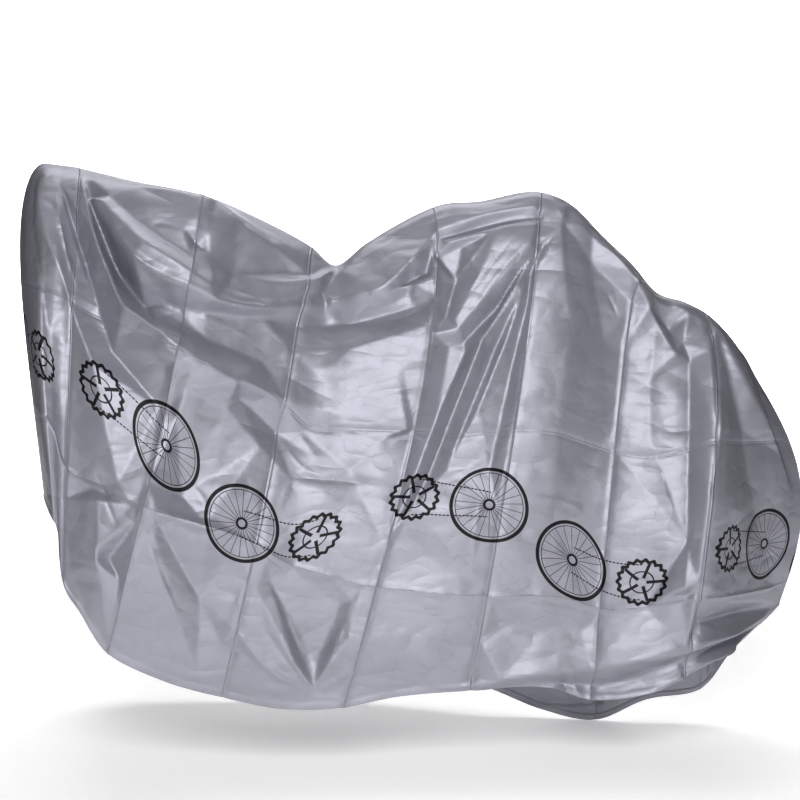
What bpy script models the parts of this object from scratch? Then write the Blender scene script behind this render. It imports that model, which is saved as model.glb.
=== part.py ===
"""Bicycle cover: one thin sheet of silver film, draped over a fore peak, a sag, an aft peak and a low tail.

The cover is a tent with two sides that meet along a ridge. A point of a side has a station u along the length
(0 at the fore end, 8 at the tail, one station to each packing fold) and a drop v (0 at the ridge, 1 at the hem).
The outline is drawn on a front view, in metres right of and above the aim point, as the eye sees the cover from
EYE_DISTANCE away. A depth in front of or behind the ridge places each point of the drawing in space.
Folds are lines on the same drawing, with heights. Flat facets between them lift or sink the film.
"""

import math

import bmesh
import bpy
import numpy as np
from mathutils import Vector
from mathutils.geometry import delaunay_2d_cdt

THICKNESS = 0.002            # of the solid; the film itself is thinner
COLUMNS = 64                 # cells along one side, from end to end
ROWS = 29                    # cells from the ridge to the hem
TOP_SPREAD = 1.25            # above 1, rows crowd towards the ridge
LAST_STATION = 8.0
REST_STATION = 4.7           # where the aft peak is held up from below

EYE_DISTANCE = 3.78
EYE_TILT = math.radians(8.0)
AIM_HEIGHT = 0.66

RIDGE_CALM = 0.03            # folds grow from nothing over this drop below the ridge
END_CALM = 0.25              # and over this many stations from each end

FILM_COLOUR = (0.44, 0.44, 0.48, 1.0)
FILM_METALLIC = 0.35
FILM_ROUGHNESS = 0.42

# The ridge on the front view: station, right, up.
RIDGE = np.array([
    (0.0, -0.710, 0.474),
    (0.5, -0.672, 0.469),
    (1.0, -0.640, 0.464),
    (1.5, -0.530, 0.438),
    (2.0, -0.400, 0.412),
    (2.5, -0.300, 0.372),
    (3.0, -0.176, 0.306),
    (3.25, -0.128, 0.270),
    (3.5, -0.070, 0.312),
    (4.0, 0.066, 0.386),
    (4.5, 0.160, 0.398),
    (5.0, 0.282, 0.416),
    (5.3, 0.344, 0.390),
    (5.6, 0.404, 0.330),
    (6.0, 0.468, 0.268),
    (6.3, 0.510, 0.218),
    (6.7, 0.570, 0.196),
    (7.0, 0.612, 0.174),
    (7.4, 0.654, 0.134),
    (8.0, 0.690, 0.080),
])

# The hem on the front view, near side and far side: station, right, up.
NEAR_HEM = np.array([
    (0.0, -0.712, -0.194),
    (0.5, -0.686, -0.262),
    (1.0, -0.674, -0.368),
    (1.5, -0.640, -0.424),
    (2.0, -0.584, -0.506),
    (2.5, -0.480, -0.560),
    (3.0, -0.356, -0.596),
    (3.5, -0.230, -0.618),
    (4.0, -0.112, -0.614),
    (4.4, -0.010, -0.594),
    (5.0, 0.140, -0.582),
    (5.6, 0.300, -0.576),
    (6.0, 0.380, -0.598),
    (6.5, 0.496, -0.588),
    (7.0, 0.572, -0.554),
    (7.5, 0.670, -0.484),
    (8.0, 0.757, -0.410),
])
FAR_HEM = np.array([
    (0.0, -0.712, -0.194),
    (1.0, -0.640, -0.300),
    (2.0, -0.560, -0.430),
    (3.0, -0.350, -0.520),
    (4.0, -0.110, -0.540),
    (5.0, 0.160, -0.570),
    (5.5, 0.280, -0.618),
    (6.0, 0.390, -0.640),
    (6.5, 0.490, -0.600),
    (7.0, 0.600, -0.578),
    (7.5, 0.664, -0.500),
    (8.0, 0.757, -0.410),
])

# Cross sections: station; how far the line from ridge to hem bows to the right, and at which drop; then for
# the near and the far side the depth of the shoulder, the height it needs, the depth of the belly and of the hem.
SECTIONS = np.array([
    (0.0, -0.050, 0.25, 0.050, 0.06, 0.24, 0.30, 0.050, 0.06, 0.16, 0.20),
    (1.0, -0.004, 0.50, 0.050, 0.06, 0.24, 0.30, 0.050, 0.06, 0.18, 0.22),
    (2.0, 0.018, 0.40, 0.075, 0.07, 0.27, 0.31, 0.070, 0.07, 0.20, 0.25),
    (3.0, 0.008, 0.50, 0.024, 0.024, 0.24, 0.29, 0.035, 0.035, 0.19, 0.25),
    (4.0, 0.044, 0.35, 0.016, 0.016, 0.20, 0.27, 0.030, 0.03, 0.18, 0.24),
    (5.0, 0.014, 0.40, 0.020, 0.018, 0.19, 0.25, 0.030, 0.03, 0.14, 0.15),
    (6.0, 0.000, 0.50, 0.020, 0.018, 0.17, 0.22, 0.030, 0.03, 0.11, 0.10),
    (7.0, 0.028, 0.35, 0.024, 0.02, 0.20, 0.21, 0.030, 0.03, 0.09, 0.09),
    (8.0, 0.078, 0.50, 0.045, 0.05, 0.09, 0.09, 0.045, 0.05, 0.07, 0.07),
])
BELLY_DROP = 0.55            # the drop at which the belly's depth is given
FORE_ROUNDING = 0.4          # stations over which the fore end turns from one side to the other
TAIL_ROUNDING = 0.9

# Packing folds: the drop of the upper and of the lower one at each station, and their heights. The folds from
# ridge to hem lie at whole stations, every other one standing out and the rest sunk in.
PACKING_ROWS = np.array([
    (0.0, 0.36, 0.70),
    (1.0, 0.33, 0.72),
    (2.0, 0.35, 0.68),
    (3.0, 0.35, 0.66),
    (4.0, 0.45, 0.76),
    (5.0, 0.48, 0.81),
    (6.0, 0.43, 0.79),
    (7.0, 0.36, 0.78),
    (8.0, 0.33, 0.90),
])
PACKING_COLUMN_LIFT = 0.0040
PACKING_ROW_LIFT = 0.0030
PACKING_REACH = 0.42         # how far a packing fold's flank reaches, as a share of the gap to the next fold

# Folds: three corners of a crest or of a hollow, each with its place on the front view, right and up, and its
# height above the smooth tent, all in millimetres. Flat facets span the space between the folds.
NEAR_FOLDS = [
    # the fore peak
    ("first crest", -700, 468, 0, -672, 400, 6, -632, 264, 0),
    ("outer crest", -726, 426, 6, -706, 316, 22, -662, 198, 26),
    ("outer crest, lower", -662, 198, 26, -610, 68, 20, -562, -164, 8),
    ("fore end, upper", -732, 370, 2, -720, 260, 2, -704, 140, 0),
    ("fore end, lower", -704, 140, 0, -688, -20, 0, -680, -200, 0),
    ("fore end, low", -680, -200, 0, -660, -324, 0, -624, -428, 0),
    ("fore valley", -680, 430, 2, -640, 300, -14, -604, 188, -8),
    ("inner crest", -636, 446, 10, -600, 310, 36, -546, 178, 42),
    ("deep trough", -620, 400, 2, -576, 276, -22, -512, 188, -14),
    ("trough floor", -512, 188, -14, -456, 188, 0, -400, 172, 6),
    ("hood lip", -616, 396, 26, -526, 270, 50, -380, 190, 40),
    ("hood lip, aft", -380, 190, 40, -276, 178, 24, -148, 190, 8),
    ("under the lip, aft", -390, 174, 8, -276, 162, 8, -150, 176, 0),
    ("top crest", -624, 444, 8, -520, 406, 32, -390, 376, 34),
    ("top crest, aft", -390, 376, 34, -336, 348, 26, -264, 304, 22),
    ("top crest, end", -264, 304, 22, -220, 276, 16, -180, 246, 10),
    ("spindle groove", -576, 394, 24, -486, 322, 28, -416, 272, 28),
    ("hood dent", -432, 328, 28, -410, 306, 10, -386, 284, 20),
    ("hood dent, upper", -432, 368, 30, -408, 356, 32, -388, 324, 24),
    ("hood crease", -376, 378, 28, -388, 324, 24, -388, 276, 22),
    ("hood trough", -392, 272, 22, -336, 248, 8, -220, 254, 6),
    ("sag crest", -546, 178, 42, -480, 130, 42, -416, 78, 44),
    ("sag crest, aft", -416, 78, 44, -330, 36, 38, -230, -4, 14),
    ("sag crest, end", -230, -4, 14, -112, -32, 6, 18, -60, 2),
    ("shelf back", -496, 184, 2, -392, 124, 4, -276, 76, 0),
    # the fore panel
    ("fore panel hollow", -620, 176, 0, -576, 96, -8, -484, -12, -11),
    ("fore panel edge", -520, 148, 34, -496, 96, 22, -468, 56, 8),
    ("fore strip", -452, 74, 38, -460, 30, 8, -468, -16, -8),
    ("lower edge of the strip", -416, 68, 40, -432, 16, 18, -448, -40, 4),
    ("fore cross crease", -660, -148, 2, -612, -176, -6, -538, -208, 8),
    ("fore pocket", -496, -156, 11, -436, -190, -15, -380, -228, 7),
    ("row crest", -486, -224, 14, -386, -254, 14, -292, -290, 4),
    ("low fore crest", -504, -164, 10, -520, -232, 15, -552, -352, 9),
    ("low fore crest, end", -552, -352, 9, -564, -420, 4, -580, -490, 0),
    ("low fore dent", -608, -284, 13, -584, -320, -9, -560, -356, 4),
    ("end panel edge", -602, -200, 13, -602, -320, 18, -584, -456, 5),
    ("low panel edge", -490, -228, 12, -490, -312, 12, -404, -552, 2),
    ("low panel hollow", -460, -290, -6, -400, -400, -10, -356, -490, 0),
    ("slant hollow", -320, 4, 0, -250, -56, -13, -170, -116, -1),
    ("slant crest", -348, -16, 6, -280, -92, 6, -216, -160, 3),
    # folds that run together at the hem
    ("hem fan, low", -336, -456, 8, -250, -528, 9, -178, -590, 0),
    ("hem fan, high", -290, -378, 6, -212, -520, 15, -174, -582, 0),
    ("hem fan hollow", -260, -360, -3, -192, -520, -12, -172, -576, 0),
    ("hem fan, aft crest", -106, -470, 10, -140, -524, 10, -170, -576, 0),
    ("hem fan, aft hollow", -120, -412, -6, -156, -500, -10, -172, -568, 0),
    ("hem fan, aft edge", -116, -554, 3, -108, -480, 9, -100, -400, 1),
    ("star, left", -328, -290, 4, -264, -316, 4, -214, -340, -5),
    ("star, right", -214, -340, -5, -144, -346, 2, -72, -362, 2),
    ("star, up", -214, -340, -5, -196, -260, 2, -164, -180, 5),
    # the middle
    ("sag edge", -264, 232, 20, -168, 238, 26, -126, 262, 10),
    ("sag pinch", -172, 228, 26, -158, 210, 8, -140, 192, 18),
    ("swag crest", 66, 320, 10, 32, 276, 26, -2, 234, 34),
    ("swag crest, fore", -2, 234, 34, -40, 210, 32, -110, 196, 18),
    ("swag hollow", 72, 284, -4, 56, 254, -6, 8, 226, 6),
    ("swag sliver", 68, 240, 16, 28, 226, 16, -24, 212, 26),
    ("long hollow", -208, 148, -4, -100, 156, -7, 28, 188, -6),
    ("long crest", -216, 92, 4, -100, 98, 15, 52, 146, 11),
    ("middle hollow", -200, -60, -3, -100, -140, -6, -40, -80, -1),
    ("middle crest", -156, 40, 7, -80, 32, 7, 0, 56, 6),
    # the aft peak and the fan below it
    ("rest crest, upper", 72, 332, 10, 164, 366, 12, 272, 388, 8),
    ("rest line", 74, 316, 4, 166, 346, -2, 282, 364, 4),
    ("rest crest, lower", 104, 312, 16, 200, 338, 16, 272, 348, 14),
    ("fan crest, high", 210, 344, 16, 160, 248, 20, 110, 156, 14),
    ("fan hollow, high", 124, 308, 2, 112, 240, -6, 92, 164, -2),
    ("fan crest, middle", 260, 306, 18, 184, 216, 18, 116, 138, 16),
    ("fan swag", 278, 298, 3, 204, 198, -11, 128, 116, -8),
    ("fan swag, end", 128, 116, -8, 98, 108, -6, 70, 116, 8),
    ("seam of the middle", 66, 314, 10, 74, 200, 11, 66, 128, 11),
    ("seam of the middle, low", 66, 110, 8, 24, -60, 11, -32, -284, 4),
    ("tube", 254, 276, 11, 166, 120, 21, 60, -146, 19),
    ("tube, end", 60, -146, 19, 24, -216, 10, -8, -280, 0),
    ("tube hollow, fore", 132, 96, -6, 72, -40, -8, 20, -180, -6),
    ("tube hollow", 262, 252, 0, 188, 100, -10, 92, -136, -8),
    ("fan crest, low", 244, 216, 11, 208, 112, 10, 156, -16, 6),
    ("fan hollow, low", 258, 200, -1, 222, 56, -7, 180, -140, -6),
    ("aft seam", 284, 364, 8, 280, 316, 10, 270, 260, 12),
    ("aft seam, middle", 270, 260, 12, 250, 102, 16, 224, -66, 13),
    ("aft seam, lower", 224, -66, 13, 196, -226, 10, 176, -382, 6),
    ("aft seam, end", 176, -382, 6, 160, -480, 4, 142, -560, 0),
    ("panel edge", 328, 348, 10, 336, 160, 14, 312, -80, 12),
    ("panel edge, lower", 312, -80, 12, 296, -240, 4, 280, -380, 4),
    ("aft peak crease", 300, 408, 2, 328, 380, 12, 320, 340, 14),
    ("bright wedge", 184, -394, 6, 270, -412, 7, 364, -422, 2),
    ("bright wedge hollow", 200, -448, -4, 280, -464, -4, 360, -460, -1),
    # the tail side
    ("aft cross hollow", 380, 276, 4, 408, 120, -2, 412, -80, -4),
    ("shoulder crest", 382, 344, 12, 412, 304, 24, 452, 246, 28),
    ("shoulder crest, aft", 452, 246, 28, 490, 180, 24, 554, 88, 14),
    ("shoulder hollow", 464, 192, 4, 444, 100, -6, 432, -60, -6),
    ("light panel edge", 508, 140, 18, 500, 40, 8, 500, -80, 4),
    ("tail pocket", 504, 188, 20, 536, 148, -14, 566, 112, 0),
    ("tail flap crest", 500, 200, 22, 540, 192, 18, 580, 182, 12),
    ("tail thin line", 576, 172, 12, 600, 162, 8, 624, 152, 4),
    ("tail side hollow", 580, 80, -4, 580, -60, -10, 576, -280, -6),
    ("knife fold", 616, 96, 12, 630, -64, 30, 612, -200, 30),
    ("knife fold, low", 612, -200, 30, 592, -360, 22, 570, -500, 6),
    ("tail dark fold", 644, 100, 0, 688, -60, -6, 716, -240, -8),
    ("tail crest", 636, 140, 8, 692, 4, 20, 728, -56, 20),
    ("tail crest, end", 728, -56, 20, 756, -112, 12, 784, -180, 2),
    # towards the tail corner
    ("corner upper hollow", 408, -424, -3, 490, -416, -14, 568, -404, -3),
    ("corner ledge", 580, -392, 14, 656, -398, 14, 736, -400, 3),
    ("ledge hollow", 600, -448, -11, 670, -428, -11, 752, -410, 0),
    ("corner crest, high", 574, -504, 12, 652, -464, 21, 758, -410, 0),
    ("corner hollow", 572, -532, -8, 656, -480, -4, 756, -412, 0),
    ("corner crest, low", 564, -560, 8, 654, -498, 20, 756, -412, 0),
    ("tucked edge, fore", 110, -576, 3, 200, -558, 18, 280, -544, 23),
    ("tucked edge", 280, -544, 23, 380, -532, 21, 568, -506, 8),
    ("under the tucked edge", 140, -588, 0, 240, -572, -7, 384, -570, -11),
    ("tail trough", 400, -574, -11, 480, -558, -15, 560, -528, -7),
]
FAR_FOLDS = [
    ("far peak crest", -660, 430, 8, -620, 300, 22, -560, 120, 8),
    ("far inner crest", -560, 430, 8, -500, 300, 26, -390, 150, 6),
    ("far hollow", -610, 420, 4, -560, 280, -18, -480, 100, -6),
    ("far swag", -420, 360, 10, -250, 190, 26, -60, 200, 10),
    ("far swag hollow", -390, 300, 4, -240, 130, -16, -40, 150, -4),
    ("far second swag", -330, 60, 4, -160, 20, 16, 40, 90, 4),
    ("far fan 1", 270, 370, 8, 170, 200, 26, 20, 40, 6),
    ("far fan 2", 280, 360, 8, 240, 140, 26, 140, -120, 6),
    ("far fan 3", 290, 360, 8, 320, 150, 24, 310, -100, 6),
    ("far fan 4", 300, 350, 8, 400, 160, 22, 460, -40, 6),
    ("far fan hollow", 274, 350, 2, 200, 170, -18, 80, -40, -6),
    ("far fan hollow, low", 282, 340, 2, 280, 140, -16, 224, -100, -6),
    ("far fan hollow, aft", 296, 340, 2, 360, 150, -14, 384, -80, -4),
    ("far tail crest", 500, 210, 8, 560, 80, 20, 620, -120, 6),
    ("far tail hollow", 560, 190, 0, 610, 60, -16, 660, -80, -4),
    ("far low fan 1", -420, -520, 2, -380, -360, 20, -420, -180, 6),
    ("far low fan 2", -420, -520, 2, -300, -400, 18, -220, -240, 6),
    ("far low hollow", -420, -520, 0, -344, -380, -12, -320, -200, -2),
    ("far low crest", 60, -540, 2, 80, -400, 18, 60, -220, 6),
    ("far corner crest", 756, -410, 0, 640, -470, 18, 420, -480, 4),
    ("far corner hollow", 754, -412, 0, 600, -530, -14, 430, -560, -4),
    ("far plain crest", -200, -160, 4, -80, -200, 10, 60, -140, 4),
]
MM = 0.001
SMALLEST_FACET = 1e-9        # square metres


def smooth_line(at, knots, values):
    """A cubic through the values, whose slope at a knot follows its two neighbours."""
    slopes = np.gradient(values, knots)
    left = np.clip(np.searchsorted(knots, at, side="right") - 1, 0, len(knots) - 2)
    gap = knots[left + 1] - knots[left]
    t = (at - knots[left]) / gap
    start = values[left] * (1 + 2 * t) * (1 - t) ** 2 + slopes[left] * gap * t * (1 - t) ** 2
    end = values[left + 1] * t ** 2 * (3 - 2 * t) - slopes[left + 1] * gap * t ** 2 * (1 - t)
    return start + end


def column_of(table, index, u):
    """One column of a station table, read at the stations u."""
    return smooth_line(u, table[:, 0], table[:, index])


def front_view(u, v, hem):
    """Where the film shows on the front view: on a line from ridge to hem that bows sideways as half a sine."""
    bow = column_of(SECTIONS, 1, u)
    bow_at = column_of(SECTIONS, 2, u)
    sideways = bow * np.sin(math.pi * v ** (math.log(0.5) / np.log(bow_at)))
    right = (1 - v) * column_of(RIDGE, 1, u) + v * column_of(hem, 1, u) + sideways
    up = (1 - v) * column_of(RIDGE, 2, u) + v * column_of(hem, 2, u)
    return right, up


def end_rounding(u):
    """Brings both sides together: a quarter of an ellipse at the fore end, a nearly straight wedge at the tail."""
    fore = np.clip(1 - u / FORE_ROUNDING, 0, 1)
    tail = np.clip(1 - (LAST_STATION - u) / TAIL_ROUNDING, 0, 1)
    return np.sqrt(1 - fore ** 2) * (1 - tail ** 1.25)


def depth(u, v, hem, first):
    """Distance from the ridge's plane: a rounded shoulder, then a parabola through the belly to the hem."""
    shoulder, height, belly, low = (column_of(SECTIONS, first + k, u) for k in range(4))
    fall = v * (column_of(RIDGE, 2, u) - column_of(hem, 2, u))
    rounding = np.sqrt(1 - (1 - np.clip(fall / height, 0, 1)) ** 2)
    m = BELLY_DROP
    at_top = (v - m) * (v - 1) / m
    at_belly = v * (1 - v) / (m * (1 - m))
    at_hem = v * (v - m) / (1 - m)
    return (rounding * shoulder * at_top + belly * at_belly + low * at_hem) * end_rounding(u)


def in_space(right, up, behind):
    """The point of space that shows at this place of the front view and lies that far behind the ridge's plane."""
    eye_y = -EYE_DISTANCE * math.cos(EYE_TILT)
    eye_z = AIM_HEIGHT + EYE_DISTANCE * math.sin(EYE_TILT)
    drawn_y = up * math.sin(EYE_TILT)
    drawn_z = AIM_HEIGHT + up * math.cos(EYE_TILT)
    reach = (behind - eye_y) / (drawn_y - eye_y)
    return np.stack([right * reach, eye_y + reach * (drawn_y - eye_y), eye_z + reach * (drawn_z - eye_z)], axis=-1)


def height_on_lines(spot, starts, ends):
    """The height at a spot where two folds cross: that of the nearest fold's straight piece."""
    along = (ends - starts)[:, :2]
    t = np.clip(np.sum((spot - starts[:, :2]) * along, axis=1) / np.sum(along ** 2, axis=1), 0, 1)[:, None]
    places = starts + t * (ends - starts)
    return places[np.hypot(*(places[:, :2] - spot).T).argmin(), 2]


def facets_between(folds, hem):
    """Triangles that join the folds' lines to each other and to the flat border of ridge and hem.

    Returns an array of triangles by three corners by right, up and height, in metres.
    """
    lines = np.array([row[1:] for row in folds], dtype=float).reshape(-1, 3, 3) * MM
    border = np.concatenate([RIDGE[:, 1:], hem[:, 1:]])
    corners = np.concatenate([lines.reshape(-1, 3), np.column_stack([border, np.zeros(len(border))])])
    first = np.arange(len(lines))[:, None] * 3
    pieces = np.concatenate([first + [0, 1], first + [1, 2]])
    flat = [Vector(corner) for corner in corners[:, :2]]
    spots, _, triangles, sources, _, _ = delaunay_2d_cdt(flat, pieces.tolist(), [], 0, 0.0005)
    starts, ends = lines[:, :2].reshape(-1, 3), lines[:, 1:].reshape(-1, 3)
    heights = [corners[source[0], 2] if source else height_on_lines(np.array(spot), starts, ends)
               for spot, source in zip(spots, sources)]
    net = np.column_stack([np.array([tuple(spot) for spot in spots]), heights])
    return net[np.array(triangles)]


def fold_lift(right, up, folds, hem):
    """The height of the flat facet over each place of the front view, worked out facet by facet."""
    lift = np.zeros(right.shape)
    for a, b, c in facets_between(folds, hem):
        low, high = np.minimum(np.minimum(a, b), c), np.maximum(np.maximum(a, b), c)
        near = (right >= low[0]) & (right <= high[0]) & (up >= low[1]) & (up <= high[1])
        x, z = right[near] - a[0], up[near] - a[1]
        side_b, side_c = b - a, c - a
        area = side_b[0] * side_c[1] - side_b[1] * side_c[0]
        if abs(area) < SMALLEST_FACET:
            continue
        to_b = (x * side_c[1] - z * side_c[0]) / area
        to_c = (z * side_b[0] - x * side_b[1]) / area
        height = a[2] + to_b * side_b[2] + to_c * side_c[2]
        inside = (to_b >= 0) & (to_c >= 0) & (to_b + to_c <= 1)
        lift[near] = np.where(inside, height, lift[near])
    return lift


def packing_lift(u, v):
    """Shallow roof-shaped folds: one at each whole station, in and out by turns, and one along each packing row."""
    from_column = np.abs(u - np.round(u))
    outward = np.where(np.round(u) % 2 == 0, 1.0, -1.0)
    lift = PACKING_COLUMN_LIFT * outward * np.clip(1 - from_column / PACKING_REACH, 0, 1)
    upper, lower = column_of(PACKING_ROWS, 1, u), column_of(PACKING_ROWS, 2, u)
    reach = PACKING_REACH * (lower - upper)
    lift -= PACKING_ROW_LIFT * np.clip(1 - np.abs(v - upper) / reach, 0, 1)
    lift += PACKING_ROW_LIFT * np.clip(1 - np.abs(v - lower) / reach, 0, 1)
    return lift


def calm(u, v):
    """Folds die away at the ridge and at both ends, where the two sides meet."""
    at_ridge = np.clip(v / RIDGE_CALM, 0, 1)
    at_ends = np.clip(u / END_CALM, 0, 1) * np.clip((LAST_STATION - u) / END_CALM, 0, 1)
    return at_ridge * at_ends


def side(u, v, hem, first, folds, outward):
    """The points of one side: the smooth tent, lifted along its normal by the facets and the packing folds."""
    step = 0.01

    def tent(u, v):
        right, up = front_view(u, v, hem)
        return in_space(right, up, outward * depth(u, v, hem, first))

    u_low, u_high = np.clip(u - step, 0, LAST_STATION), np.clip(u + step, 0, LAST_STATION)
    v_low, v_high = np.clip(v - step, 0, 1), np.clip(v + step, 0, 1)
    normal = np.cross(tent(u_high, v) - tent(u_low, v), tent(u, v_high) - tent(u, v_low)) * outward
    normal /= np.linalg.norm(normal, axis=-1, keepdims=True)
    right, up = front_view(u, v, hem)
    lift = (fold_lift(right, up, folds, hem) + packing_lift(u, v)) * calm(u, v)
    return tent(u, v) + normal * lift[..., None]


def tent_mesh(columns, rows):
    """The whole film as one sheet: near and far side share the ridge, the far side has every other column."""
    far_columns = columns // 2
    v = np.linspace(0, 1, rows + 1)[:, None] ** TOP_SPREAD
    near_u = np.linspace(0, LAST_STATION, columns + 1)[None, :]
    far_u = near_u[:, ::-2]
    near = side(*np.broadcast_arrays(near_u, v), NEAR_HEM, 3, NEAR_FOLDS, -1)
    far = side(*np.broadcast_arrays(far_u, v), FAR_HEM, 7, FAR_FOLDS, 1)
    around = np.concatenate([near[1:], far[1:, 1:-1]], axis=1)
    points = np.concatenate([near[0], around.reshape(-1, 3)])
    count = around.shape[1]
    ring = len(near[0]) + np.arange(rows * count).reshape(rows, count)
    ring = np.concatenate([ring, ring[:, :1]], axis=1)
    walls = np.stack([ring[:-1, :-1], ring[1:, :-1], ring[1:, 1:], ring[:-1, 1:]], axis=-1).reshape(-1, 4)
    top = np.arange(columns + 1)
    near_top = np.stack([top[:-1], ring[0, :columns], ring[0, 1:columns + 1], top[1:]], axis=-1)
    below = ring[0, columns:]
    far_top = np.stack([top[:0:-2], below[:far_columns], below[1:], top[-3::-2], top[-2::-2]], axis=-1)
    return points, walls.tolist() + near_top.tolist() + far_top.tolist()


def film_material():
    """Satin silver film."""
    material = bpy.data.materials.new("silver film")
    material.use_nodes = True
    shader = material.node_tree.nodes["Principled BSDF"]
    shader.inputs["Base Color"].default_value = FILM_COLOUR
    shader.inputs["Metallic"].default_value = FILM_METALLIC
    shader.inputs["Roughness"].default_value = FILM_ROUGHNESS
    return material


def clear_scene():
    for old in list(bpy.data.objects):
        bpy.data.objects.remove(old, do_unlink=True)


def rest_point():
    """The point under the film where the aft peak rests: the part's origin."""
    u = np.array([REST_STATION])
    top = in_space(column_of(RIDGE, 1, u), column_of(RIDGE, 2, u), 0.0)[0]
    return top - np.array([0, 0, THICKNESS])


def make_cover():
    """The sheet with its origin at the rest point, thickened inwards into a closed shell."""
    points, faces = tent_mesh(COLUMNS, ROWS)
    mesh = bpy.data.meshes.new("cover")
    mesh.from_pydata((points - rest_point()).tolist(), [], faces)
    mesh.validate()
    cover = bpy.data.objects.new("cover", mesh)
    bpy.context.scene.collection.objects.link(cover)
    mesh.materials.append(film_material())
    mesh.shade_smooth()
    shell = cover.modifiers.new("thickness", "SOLIDIFY")
    shell.thickness = THICKNESS
    shell.offset = -1
    return cover


def main():
    clear_scene()
    make_cover()


main()
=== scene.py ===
"""Bicycle cover, dressed: the silver film at full fineness on the shape of the part's own solid.

The cover is a tent with two sides that meet along a ridge. A point of a side has a station u along the
length (0 at the fore end, 8 at the tail, one station to each packing fold) and a drop v (0 at the ridge,
1 at the hem). The outline is drawn on a front view, in metres right of and above the aim point, as the eye
sees the cover from EYE_DISTANCE away. A depth in front of or behind the ridge places each point of the
drawing in space. Folds are lines on the same drawing, with heights. Flat facets between them lift or sink
the film along its normal. The finer creases, the packing folds and the film's crumple come on top of them.
"""

import math
from collections import namedtuple

import bpy
import numpy as np
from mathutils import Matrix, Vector
from mathutils.geometry import delaunay_2d_cdt


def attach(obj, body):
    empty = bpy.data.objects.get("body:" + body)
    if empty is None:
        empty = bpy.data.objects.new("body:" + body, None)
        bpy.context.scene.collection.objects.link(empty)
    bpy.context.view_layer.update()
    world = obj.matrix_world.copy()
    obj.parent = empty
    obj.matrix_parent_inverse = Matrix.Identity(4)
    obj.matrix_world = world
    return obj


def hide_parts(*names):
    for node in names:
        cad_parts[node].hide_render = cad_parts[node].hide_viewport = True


MM = 0.001

# The sheet and its grid.
STATION_LENGTH = 0.20        # film from one station to the next
DROP_LENGTH = 0.98           # film from ridge to hem
LAST_STATION = 8.0
COLUMNS = 336                # cells along the near side, from end to end
ROWS = 188                   # cells from the ridge to the hem
TOP_SPREAD = 1.25            # above 1, rows crowd towards the ridge
REST_STATION = 4.7           # where the aft peak is held up from below: the frame's origin
SOLID_THICKNESS = 0.002      # of the part's solid, whose inner face holds the origin

# The hem: a strip turned in behind the film, and the small step where it ends.
HEM_ROWS = 4                 # cells of the strip
HEM_WIDTH = 0.012
HEM_START = 0.1              # of its width, where the strip's first row lies
HEM_GAP = 0.0012             # from the film to the strip behind it
HEM_STEP = 0.0014            # how far the doubled edge stands out
HEM_STEEPNESS = 400          # the step rises over one part in this many of the drop

EYE_DISTANCE = 3.78
EYE_TILT = math.radians(8.0)
AIM_HEIGHT = 0.66
VIEW_WIDTH = 1.6             # metres across the picture at the aim point
SENSOR_WIDTH = 36.0          # millimetres

NORMAL_STEP = 0.01           # of a station and of the drop, to each side, for the smooth tent's normals
SHADING_REACH = 0.7          # of a cell, to each side, for the finished film's normals
RIDGE_CALM = 0.03            # folds grow from nothing over this drop below the ridge
END_CALM = 0.25              # and over this many stations from each end
FOLD_SOFTNESS = 0.0026       # half the width over which a fold turns
SHARED_CORNER = 0.0005       # corners of folds this close to each other are one
SMALLEST_FACET = 1e-9        # square metres, doubled; a smaller facet is left out
CREASE_SHARE = 0.6           # of the heights in the crease tables
CREASE_SHARPNESS = 1.7       # 1 would be straight flanks
CURVE_STEPS = 8              # straight pieces of a crease
PACKING_LINE_LIFT = 0.0020   # the crisp line on a packing fold's crest
PACKING_LINE_WIDTH = 0.009

# The film's crumple: size of the facets, height, and how far coarser facets bend their edges.
CRUMPLE = [
    (0.120, 0.0022, 0.045),
    (0.050, 0.0007, 0.018),
    (0.021, 0.0002, 0.007),
]
CRUMPLE_GRID = 64            # corners each way before the pattern of facets repeats
BENDING_SIZES = (2.3, 1.9)   # how much coarser the facets are that bend edges sideways and up
BENDING_SEEDS = (10, 20)

# The material's own relief, in metres.
CREASE_LIFTS = (0.0012, 0.0006)  # of the sharp lines on the upright and on the level packing folds
CREASE_WIDTH = 0.0024
WRINKLES = [(0.120, 0.0150), (0.040, 0.0042)]  # long wrinkles: the size of the noise, and their height
WRINKLE_STRETCH = (0.55, 1.0, 1.2)
WRINKLE_DETAIL = 0.6
FACETS = (0.030, 0.017)      # small flat facets: size, and the steepest slope
GRAIN_LIFT = 0.00004         # of the film's fine lines
GRAIN_RATE = (30.0, 500.0, 1.0)  # of the fine lines, to a metre along the sheet and down it
GRAIN_DETAIL = 2.0

# The printed band: drop at the fore end and its growth with each station, then the cells around the cover.
PRINT_BAND = (0.50, 0.030)
PRINT_COUNT = 12
PRINT_PITCH = 0.30
PRINT_STEP = 0.028           # cells lie above and below the band by turns
PRINT_TILT = 0.12
PRINT_REACH = 0.068          # from a cell's middle to the centre of each of its two rings
EDGE_SHARPNESS = 2000.0      # a printed edge fades over one part in this many of a metre

# The rings of a cell. A circle: radius, and half the width of its line. Rays: number, half the width of a
# line, and the two radii that they run between.
BIG_CIRCLES = [(0.068, 0.0032), (0.061, 0.0007), (0.009, 0.0022)]
SPOKES = (22, 0.0005, 0.010, 0.061)
TOOTHED_CIRCLE = (0.041, 0.0036)
TOOTH_COUNT = 18
TOOTH_HEIGHT = 0.0022
SMALL_CIRCLE = (0.0205, 0.0012)
ARMS = (5, 0.0028, 0.0082, 0.03895)

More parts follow.
